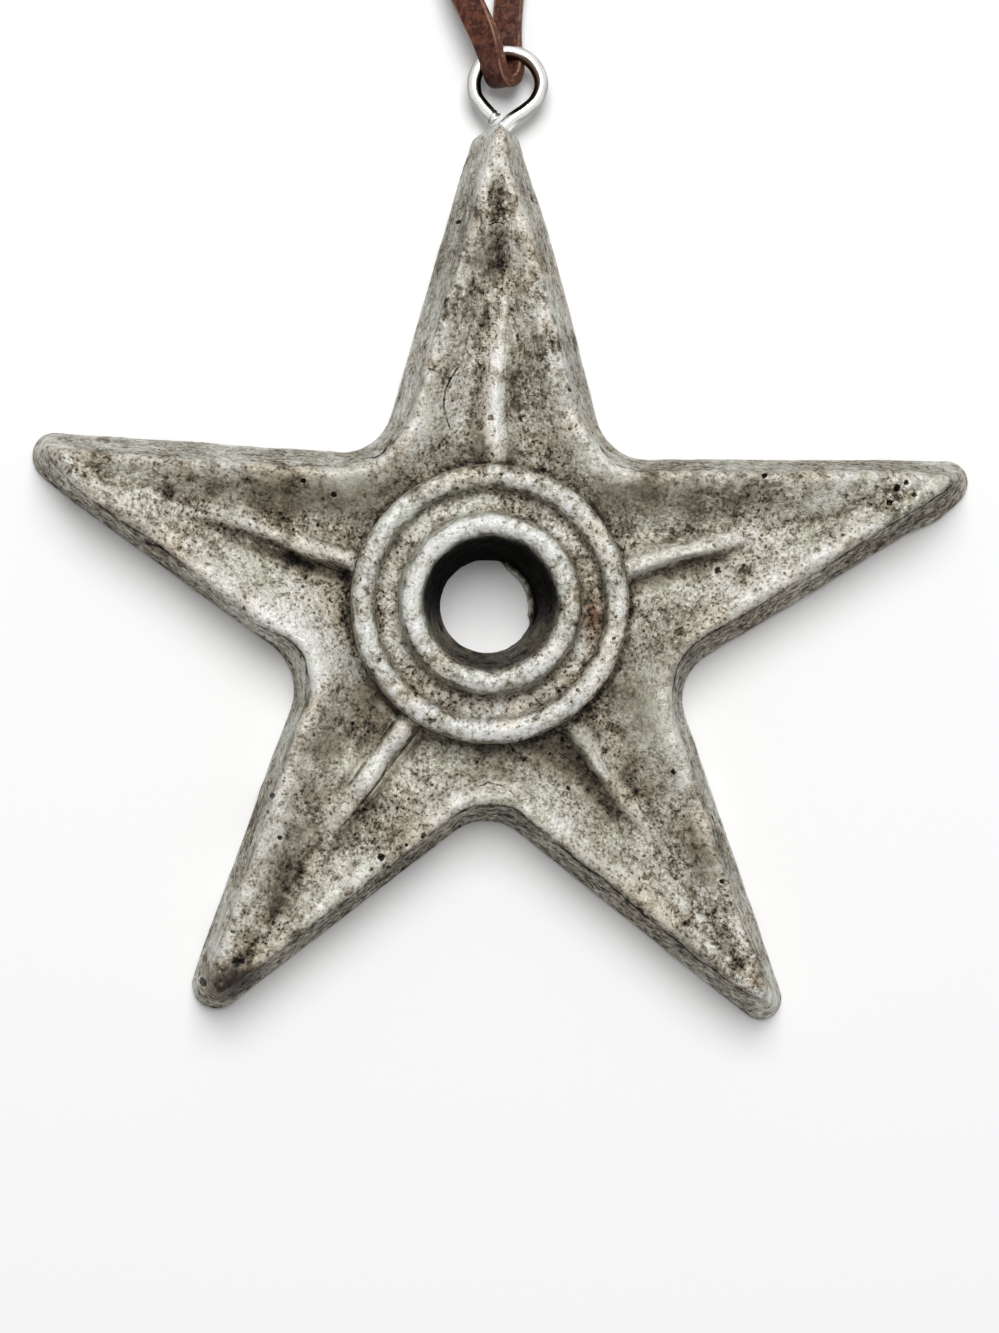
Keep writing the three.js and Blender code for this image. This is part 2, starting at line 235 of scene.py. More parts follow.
def keepAttribute(geometry, name, value, domain="POINT", kind="FLOAT"):
    given = {"Geometry": geometry, "Name": name, "Value": value}
    return fromNode(geometry.tree, "GeometryNodeStoreNamedAttribute", given, data_type=kind, domain=domain)


def realized(geometry):
    return fromNode(geometry.tree, "GeometryNodeRealizeInstances", {0: geometry})


def endTree(geometry, material, result):
    given = {"Geometry": realized(geometry), "Material": material}
    fill(result, {0: fromNode(geometry.tree, "GeometryNodeSetMaterial", given)})


# Curves through points by hand, spaced as a centripetal spline

def splineThrough(points, steps):
    p = np.asarray(points, float)
    p = np.vstack([2 * p[0] - p[1], p, 2 * p[-1] - p[-2]])
    made = []
    for i in range(1, len(p) - 2):
        a, b, c, d = p[i - 1:i + 3]
        t1 = max(np.linalg.norm(b[:3] - a[:3]), 1e-6) ** 0.5
        t2 = t1 + max(np.linalg.norm(c[:3] - b[:3]), 1e-6) ** 0.5
        t3 = t2 + max(np.linalg.norm(d[:3] - c[:3]), 1e-6) ** 0.5
        for t in np.linspace(t1, t2, steps, endpoint=False):
            ab = a + (b - a) * t / t1
            bc = b + (c - b) * (t - t1) / (t2 - t1)
            cd = c + (d - c) * (t - t2) / (t3 - t2)
            abc = ab + (bc - ab) * t / t2
            bcd = bc + (cd - bc) * (t - t1) / (t3 - t1)
            made.append(abc + (bcd - abc) * (t - t1) / (t2 - t1))
    made.append(p[-2])
    return np.array(made)


def evenSteps(line, step):
    # the same line in steps of equal length, measured on its first three columns
    along = np.r_[0, np.cumsum(np.linalg.norm(np.diff(line[:, :3], axis=0), axis=1))]
    count = max(int(round(along[-1] / step)), 2)
    at = np.linspace(0, along[-1], count + 1)
    return np.stack([np.interp(at, along, column) for column in line.T], 1), along[-1]


def fade(value, start, end):
    share = np.clip((np.asarray(value, float) - start) / (np.asarray(end, float) - start), 0, 1)
    return share * share * (3 - 2 * share)


def unit(v):
    return v / np.maximum(np.linalg.norm(v, axis=-1, keepdims=True), 1e-9)


def gridFaces(rows, count, rowsClosed, countClosed, inward):
    # faces between rows of points, which go round or end
    faces = []
    for k in range(rows if rowsClosed else rows - 1):
        for i in range(count if countClosed else count - 1):
            here, there, j = k * count, (k + 1) % rows * count, (i + 1) % count
            face = (here + i, here + j, there + j, there + i)
            faces.append((face[0], *face[:0:-1]) if inward else face)
    return faces


def sweep(name, line, up, section):
    # section(i) gives the points of a cross section, first across the line and then along up
    along = unit(np.gradient(line, axis=0))
    up = unit(up - along * (up * along).sum(1, keepdims=True))
    across = np.cross(along, up)
    rings = []
    for i in range(len(line)):
        flat = section(i)
        rings.append(line[i] + flat[:, :1] * across[i] + flat[:, 1:] * up[i])
    count = len(rings[0])
    points = np.vstack(rings + [rings[0].mean(0)[None], rings[-1].mean(0)[None]])
    faces = gridFaces(len(rings), count, False, True, False)
    last = (len(rings) - 1) * count
    for i in range(count):
        j = (i + 1) % count
        faces.append((len(points) - 2, j, i))
        faces.append((len(points) - 1, last + i, last + j))
    obj = newObject(name, points, faces)
    obj.data.shade_smooth()
    return obj


# Where the star's own middle lies in the frame, worked out from the eye that stands in its top arm

eyeLow, eyeHigh = (np.array(corner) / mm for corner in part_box("screw_eye"))

eye = {
    "outside": 8.7,             # mm, ring
    "wire": 1.5,
    "toTip": 4.1,               # ring's centre above the filed end of the top arm
    "sideStep": 0.72,           # ring's centre right of the star's middle
    "shankSide": -0.62,
    "shankDepth": 8.0,
    "cutEnd": [(-1.2, -3.7), (-1.95, -3.0)],            # bends from the ring's centre
    "neck": [(1.95, -2.6), (1.05, -3.25), (0.3, -3.85)],
    "sides": 32,
    "step": 0.14,
}
eye["middle"] = np.array([eyeLow[0] + eye["outside"] / 2, eyeHigh[1] - eye["outside"] / 2,
                          (eyeLow[2] + eyeHigh[2]) / 2])

star = {
    "reach": 58.6,              # hub to the sharp corner that an arm's sides aim at, mm
    "tipHalfAngle": 16.2,       # degrees
    "notchRound": 5.7,
    "armCount": 5,
    "arms": {                   # lean in degrees, extra reach, radius of the tip
        "Top Arm": (0.1, 1.6, 2.1),
        "Right Arm": (-0.8, 1.1, 2.3),
        "Lower Right Arm": (0.3, 0.1, 2.3),
        "Lower Left Arm": (0.7, -0.2, 2.6),
        "Left Arm": (-0.7, -0.2, 2.5),
    },
    "sharpTip": 1.5,            # an arm is drawn with this tip, and towards the blunt one it is blended
    "bluntTip": 3.0,
    "tipFace": 52.3,            # the top arm is filed off square here
    "hubRadius": 14.6,
    "hubShift": (-0.35, 0.8),
    "coreRadius": 12.0,         # hole in the arms that the hub's plug fills
    "coreLength": 60.0,
    "coreSides": 96,
    "weld": 0.02,               # points nearer than this become one, where arm meets arm
    "soften": 6,
    "voxel": 0.3,
    "keepShare": 0.62,          # of the faces: most of those on the flat back go
    # inset from the outline and height: up the outer wall, over the rim, down to the trough
    "wall": [(0.0, 0.0), (0.0, 0.5), (1.0, 4.0), (1.95, 7.5)],
    "rim": [(1.95, 7.5), (2.2, 8.25), (2.75, 8.5), (3.4, 8.3), (4.6, 7.65), (6.2, 6.6), (8.0, 5.75),
            (10.0, 5.5)],
}
star["middle"] = eye["middle"][:2] - (eye["sideStep"], star["tipFace"] + eye["toTip"])


# Leather lace: one length, from tail to tail, through its knot, round the eye's wire and back

lace = {
    "width": 3.1,
    "thickness": 1.3,
    "edgeRound": 0.34,
    "knotEdgeRound": 0.3,       # more than that, in the knot
    "clear": 0.02,              # least gap under it
    "lift": 0.05,
    "step": 0.35,
    "knotMiddle": (-5.7, 85.0, 2.25),
    "knotWidth": 1.95,          # the leather rolls up where it is pulled tight
    "knotThickness": 1.5,
    "knotLong": 1.3,            # size of the knot's turns along the lace, across it and in height
    "knotAcross": 1.0,
    "knotRise": 0.8,
    "pairSpread": 0.95,         # the two strands lie side by side in the knot
    "knotReach": (5.0, 9.0),    # from the knot's middle, where the leather opens out flat again
}
lay = lace["lift"] + lace["thickness"] / 2

# Places from the ring's centre, x and y, height over the surface, degrees that the face leans to the left,
# and degrees that it has turned from face up on its way round the wire
tailShort = [(-1.0, 101.3, lay, 0, 0), (-1.8, 97.5, lay, 0, 0), (-2.5, 92.5, lay + 0.4, 0, 0)]
strands = [
    (-2.7, 79.5, lay + 0.6, 0, 0), (-1.5, 74.8, lay + 0.1, 0, 0), (-0.3, 69, lay, 0, 0),
    (2.5, 60, lay, 0, 0), (4.1, 51, lay, 0, 0), (4.7, 42, lay, 0, 0), (4.3, 33, lay, 0, 0),
    (3.1, 25, lay, 4, 0), (1.6, 17.5, lay + 0.15, 12, 0), (0.2, 11, lay + 0.35, 12, 0),
    (-0.1, 6.6, lay + 0.4, 14, 0), (-0.05, 4.6, lay + 0.3, 18, 0), (0.15, 3.0, lay + 0.25, 26, 0),
    (0.3, 1.7, 1.2, 34, 30), (0.0, 0.8, 1.7, 40, 60), (-0.5, 0.4, 2.4, 45, 90), (-0.95, 0.5, 3.1, 48, 120),
    (-1.4, 1.3, 3.9, 49, 150), (-1.9, 2.8, 4.5, 45, 176), (-2.6, 4.7, 4.65, 37, 180),
    (-3.55, 6.7, 4.35, 27, 184), (-5.35, 10.7, 3.5, 14, 188), (-7.4, 18.1, 2.06, 10, 188),
    (-9.7, 26.1, 1.0, 4, 184), (-12.1, 34.1, lay, 0, 180), (-13.9, 43.1, lay, 0, 180),
    (-14.5, 52.1, lay, 0, 180), (-13.7, 61.1, lay, 0, 180), (-11.7, 69.6, lay, 0, 180),
    (-8.4, 75.6, lay + 0.1, 0, 180), (-4.9, 79.4, lay + 0.6, 0, 180),
]
tailLong = [(-5.4, 93.2, lay + 0.4, 0, 180), (-8.2, 99.5, lay, 0, 180), (-9.35, 105.5, lay, 0, 180)]


def knotTurns(side, turned):
    # an overhand knot: over and under at the places where it crosses itself
    crossings = [-2.3, -1.93, -1.73, -0.518, 0.518, 1.73, 1.93, 2.3]
    heights = [0, -1, 1, -1, 1, -1, 1, 0]
    t = np.linspace(-2.05, 2.05, 24)
    k = np.clip(np.searchsorted(crossings, t) - 1, 0, len(crossings) - 2)
    share = fade(t, np.take(crossings, k), np.take(crossings, k + 1))
    rise = np.take(heights, k) * (1 - share) + np.take(heights, k + 1) * share
    across = lace["knotAcross"] * (t ** 4 - 4 * t ** 2 + 1.6)
    along = lace["knotLong"] * (t ** 3 - 3 * t)
    heading = unit(np.stack([np.gradient(across), np.gradient(along)], 1))
    x = lace["knotMiddle"][0] + across + side * lace["pairSpread"] * heading[:, 1]
    y = lace["knotMiddle"][1] + along - side * lace["pairSpread"] * heading[:, 0]
    z = lace["knotMiddle"][2] + lace["knotRise"] * rise
    return [(*place, 0, turned) for place in zip(x, y, z)]


def makeLace(s):
    points = tailShort + knotTurns(1, 0)[::-1] + strands + knotTurns(-1, 180) + tailLong
    line = splineThrough(points, 12)
    line[:, 2] = np.maximum(line[:, 2], lay)
    line, long = evenSteps(line, s["step"])
    lean, turned = np.radians(line[:, 3]), np.radians(line[:, 4])
    up = np.stack([-np.sin(lean) * np.cos(turned), np.sin(turned), np.cos(lean) * np.cos(turned)], 1)
    fromKnot = np.linalg.norm(line[:, :3] - s["knotMiddle"], axis=1)
    loose = fade(fromKnot, *s["knotReach"])
    width = s["knotWidth"] + (s["width"] - s["knotWidth"]) * loose
    thickness = s["knotThickness"] + (s["thickness"] - s["knotThickness"]) * loose
    lowest = width / 2 * np.abs(np.sin(lean)) + thickness / 2 * np.abs(np.cos(turned)) + s["clear"]
    line[:, 2] = np.maximum(line[:, 2], lowest)
    place = line[:, :3] + (*eye["middle"][:2], 0)
    corner = np.linspace(0, np.pi / 2, 4)

    def section(i):
        w, t, r = width[i] / 2, thickness[i] / 2, s["edgeRound"] + s["knotEdgeRound"] * (1 - loose[i])
        around = []
        for quarter, (cx, cy) in enumerate([(w - r, t - r), (r - w, t - r), (r - w, r - t), (w - r, r - t)]):
            turn = corner + quarter * np.pi / 2
            around += [(cx + r * math.cos(a), cy + r * math.sin(a)) for a in turn]
            if quarter % 2 == 0:    # points across the face, for its grain
                for share in (0.25, 0.5, 0.75):
                    around.append((cx * (1 - 2 * share), (cy + r * (1 if quarter == 0 else -1))))
        return np.array(around)

    obj = sweep("laceStrap", place, up, section)
    count = len(section(0))
    sideways = np.tile(np.abs(section(len(line) // 2)[:, 0]) / (s["width"] / 2), len(line))
    storePoints(obj, "edge", np.r_[sideways, 1, 1])
    storePoints(obj, "along", np.r_[np.repeat(np.linspace(0, long, len(line)), count), 0, long])
    return obj, place, long


laceStrap, laceLine, laceLong = makeLace(lace)
print(f"lace made, {laceLong:.0f} mm long")


# Cast star. One arm is drawn in its own wedge, the node tree sets five of them round the hub.

def halfOutline(inset, tip, s):
    # from the middle of a notch to the point of the arm that lies along +y, all on its right side
    half = math.radians(s["tipHalfAngle"])
    wedge = math.pi / s["armCount"]
    notchHalf = half + wedge
    edge = s["reach"] * math.sin(half)
    shrink = (edge - inset) / edge
    side = s["reach"] * math.sin(wedge) / math.sin(notchHalf)
    tip = max(tip - inset, 0.25)
    blunt = max(s["bluntTip"] - inset, 0.25)
    room = (side * shrink - blunt / math.tan(half)) * math.tan(notchHalf)
    notch = min(s["notchRound"] + inset, 0.92 * room)
    tipMiddle = s["reach"] * shrink - tip / math.sin(half)
    notchMiddle = (edge / math.sin(notchHalf)) * shrink + notch / math.sin(notchHalf)
    points = []
    for t in np.linspace(0.5, 0, 9):
        back = math.pi / 2 - wedge + math.pi - (math.pi / 2 - notchHalf) * (1 - 2 * t)
        points.append((notchMiddle * math.sin(wedge) + notch * math.cos(back),
                       notchMiddle * math.cos(wedge) + notch * math.sin(back)))
    arc = []
    for t in np.linspace(1, 0.5, 8):
        swing = math.pi / 2 + (math.pi / 2 - half) * (1 - 2 * t)
        arc.append((tip * math.cos(swing), tipMiddle + tip * math.sin(swing)))
    start, end = np.array(points[-1]), np.array(arc[0])
    points += [tuple(start + (end - start) * t) for t in np.linspace(0, 1, 34)[1:-1]]
    return np.array(points + arc)


def armWedge(s):
    levels = s["wall"][:-1] + [tuple(level) for level in splineThrough(s["rim"], 5)]

    def shell(tip):
        points = []
        for inset, height in levels:
            right = halfOutline(inset, tip, s)
            ring = np.vstack([right * (-1, 1), right[-2::-1]])
            points.append(np.c_[ring, np.full(len(ring), height)])
        return np.vstack(points + [[(0, 0, levels[0][1])], [(0, 0, levels[-1][1])]])

    sharp, blunt = shell(s["sharpTip"]), shell(s["bluntTip"])
    count = (len(sharp) - 2) // len(levels)
    faces = gridFaces(len(levels), count, False, False, True)
    top = (len(levels) - 1) * count
    for i in range(count - 1):
        faces.append((len(sharp) - 2, i, i + 1))
        faces.append((len(sharp) - 1, top + i + 1, top + i))
    obj = newObject("armWedge", sharp, faces)
    storePoints(obj, "bluntMove", blunt - sharp)
    return obj


ribs = {
    "start": 12.5,              # from the hub's middle, mm
    "end": 32.0,
    "rootRadius": 1.45,
    "endRadius": 0.95,
    "rootTop": 7.6,
    "endTop": 6.9,
}


def addRib(arm, r):
    # a tapered bar with round ends, half sunk in the trough
    caps = np.radians((30, 60, 82))
    at = np.linspace(0, 1, 15)
    first, last, start, end = r["rootRadius"], r["endRadius"], r["start"], r["end"]
    low, high = r["rootTop"] - first, r["endTop"] - last
    y = np.r_[start - first * np.sin(caps[::-1]), start + (end - start) * at, end + last * np.sin(caps)]
    radius = np.r_[first * np.cos(caps[::-1]), first + (last - first) * at, last * np.cos(caps)]
    z = np.r_[[low] * 3, low + (high - low) * at, [high] * 3]
    turn = np.linspace(0, 2 * np.pi, 20, endpoint=False)
    up = np.tile((0.0, 0.0, 1.0), (len(y), 1))
    line = np.c_[np.zeros(len(y)), y, z]
    rib = sweep("rib", line, up, lambda i: np.c_[np.cos(turn), np.sin(turn)] * radius[i])
    with bpy.context.temp_override(active_object=arm, selected_editable_objects=[arm, rib]):
        bpy.ops.object.join()


# the tree's lengths, and where the star has them
armLengths = {"Reach": "reach", "Hub Radius": "hubRadius", "Core Radius": "coreRadius", "Tip Face": "tipFace",
              "Sharp Tip": "sharpTip", "Blunt Tip": "bluntTip"}


def fiveArms(s):
    inputs = {"Geometry": "Geometry", "Material": "Material", "Hub": "Object", "Hub Shift": "Vector",
              "Arms": ("Int", s["armCount"]), **dict.fromkeys(s["arms"], "Vector"),
              **dict.fromkeys(armLengths, "Float")}
    tree, given, result = newTree("fiveArms", "GeometryNodeTree", inputs, {"Geometry": "Geometry"})

    def ofArm(number):
        switch = addNode(tree, "GeometryNodeIndexSwitch", data_type="VECTOR")
        while len(switch.index_switch_items) < s["armCount"]:
            switch.index_switch_items.new()
        fill(switch, {0: number, **{i: given[name] for i, name in enumerate(s["arms"], 1)}})
        return splitVector(Wire(switch.outputs[0]))

    # five copies, clockwise from the top
    index = fromNode(tree, "GeometryNodeInputIndex")
    oneTurn = -2 * math.pi / given["Arms"]
    spots = {"Points": fromNode(tree, "GeometryNodePoints", {"Count": given["Arms"]}),
             "Instance": given["Geometry"], "Rotation": joinVector(0, 0, index * oneTurn)}
    copies = fromNode(tree, "GeometryNodeInstanceOnPoints", spots)
    numbered = realized(keepAttribute(copies, "arm", index, "INSTANCE", "INT"))
    merged = fromNode(tree, "GeometryNodeMergeByDistance", {"Geometry": numbered, "Distance": s["weld"] * mm})

    # each arm's own blunt tip
    arm = readAttribute(tree, "arm", "INT")
    blunter = {"Vector": readAttribute(tree, "bluntMove", "FLOAT_VECTOR"), "Angle": arm * oneTurn}
    move = fromNode(tree, "ShaderNodeVectorRotate", blunter, rotation_type="Z_AXIS")
    share = (ofArm(arm)[2] - given["Sharp Tip"]) / (given["Blunt Tip"] - given["Sharp Tip"])
    geometry = movePoints(merged, Offset=vectorCalc("SCALE", move, Scale=share))

    # each arm's lean and reach, blended between the arms and fading out at the hub
    x, y, z = splitVector(fromNode(tree, "GeometryNodeInputPosition"))
    out = calc("SQRT", x * x + y * y)
    angle = calc("ARCTAN2", y, x)
    place = calc("WRAP", (math.pi / 2 - angle) / (2 * math.pi), 1, 0) * given["Arms"]
    this = calc("FLOOR", place)
    blend = remap(place - this, 0, 1)
    here, there = ofArm(this), ofArm(calc("FLOORED_MODULO", this + 1, given["Arms"]))
    away = remap(out, given["Hub Radius"], (given["Hub Radius"] + given["Reach"]) / 2)
    lean, extra = (remap(blend, 0, 1, here[i], there[i], "LINEAR") for i in (0, 1))
    newAngle = angle + lean * away
    newOut = out * (1 + extra * away / given["Reach"])
    newY = calc("MINIMUM", newOut * calc("SINE", newAngle), given["Tip Face"])
    geometry = movePoints(geometry, Position=joinVector(newOut * calc("COSINE", newAngle), newY, z))

    # the hub's plug in its hole
    size = {"Vertices": s["coreSides"], "Radius": given["Core Radius"], "Depth": s["coreLength"] * mm}
    core = fromNode(tree, "GeometryNodeMeshCylinder", size, "Mesh")
    plug = fromNode(tree, "GeometryNodeObjectInfo", {"Object": given["Hub"]}, "Geometry")
    core, plug = (
        fromNode(tree, "GeometryNodeTransform", {"Geometry": part, "Translation": given["Hub Shift"]})
        for part in (core, plug))
    parts = {"Mesh 1": geometry, "Mesh 2": core, "Self Intersection": True, "Hole Tolerant": True}
    cut = fromNode(tree, "GeometryNodeMeshBoolean", parts, "Mesh", operation="DIFFERENCE", solver="EXACT")
    both = addNode(tree, "GeometryNodeJoinGeometry", {0: cut})
    fill(both, {0: plug})
    endTree(Wire(both.outputs[0]), given["Material"], result)
    return tree


hub = {
    "beadWidth": 2.5,           # mm, outer bead
    "beadTop": 9.9,
    "groove": 8.0,
    "innerRadius": 9.35,
    "innerTop": 11.4,
    "boreFront": 7.0,
    "boreBack": 4.9,
    "crownFlat": 0.75,          # 1 is a half round
    "steps": 168,
}


def hubPlug(h):
    def crown(outer, inner, base, top):
        middle, half = (outer + inner) / 2, (outer - inner) / 2
        return [(middle + half * math.cos(a), base + (top - base) * math.sin(a) ** h["crownFlat"])
                for a in np.linspace(0, np.pi, 14)]

    outer, inner, front, groove = star["hubRadius"], h["innerRadius"], h["boreFront"], h["groove"]
    inside, lipBase = outer - h["beadWidth"], h["innerTop"] - (inner - front) / 2
    profile = [(h["boreBack"], 0.0), (outer - 1.2, 0.0), (outer, 1.5)]
    profile += crown(outer, inside, h["beadTop"] - h["beadWidth"] / 2, h["beadTop"])
    profile += [(inside, groove + 0.4), (inside - 0.35, groove + 0.1), (inside - 0.9, groove),
                (inner + 0.9, groove), (inner + 0.3, groove + 0.2)]
    profile += crown(inner, front, lipBase, h["innerTop"])
    profile += [(front + (h["boreBack"] - front) * t, lipBase * (1 - t)) for t in np.linspace(0, 1, 12)[1:-1]]
    turn = np.linspace(0, 2 * np.pi, h["steps"], endpoint=False)
    points = np.array([(r * math.cos(a), r * math.sin(a), z) for a in turn for r, z in profile])
    return newObject("hubPlug", points, gridFaces(h["steps"], len(profile), True, True, True))
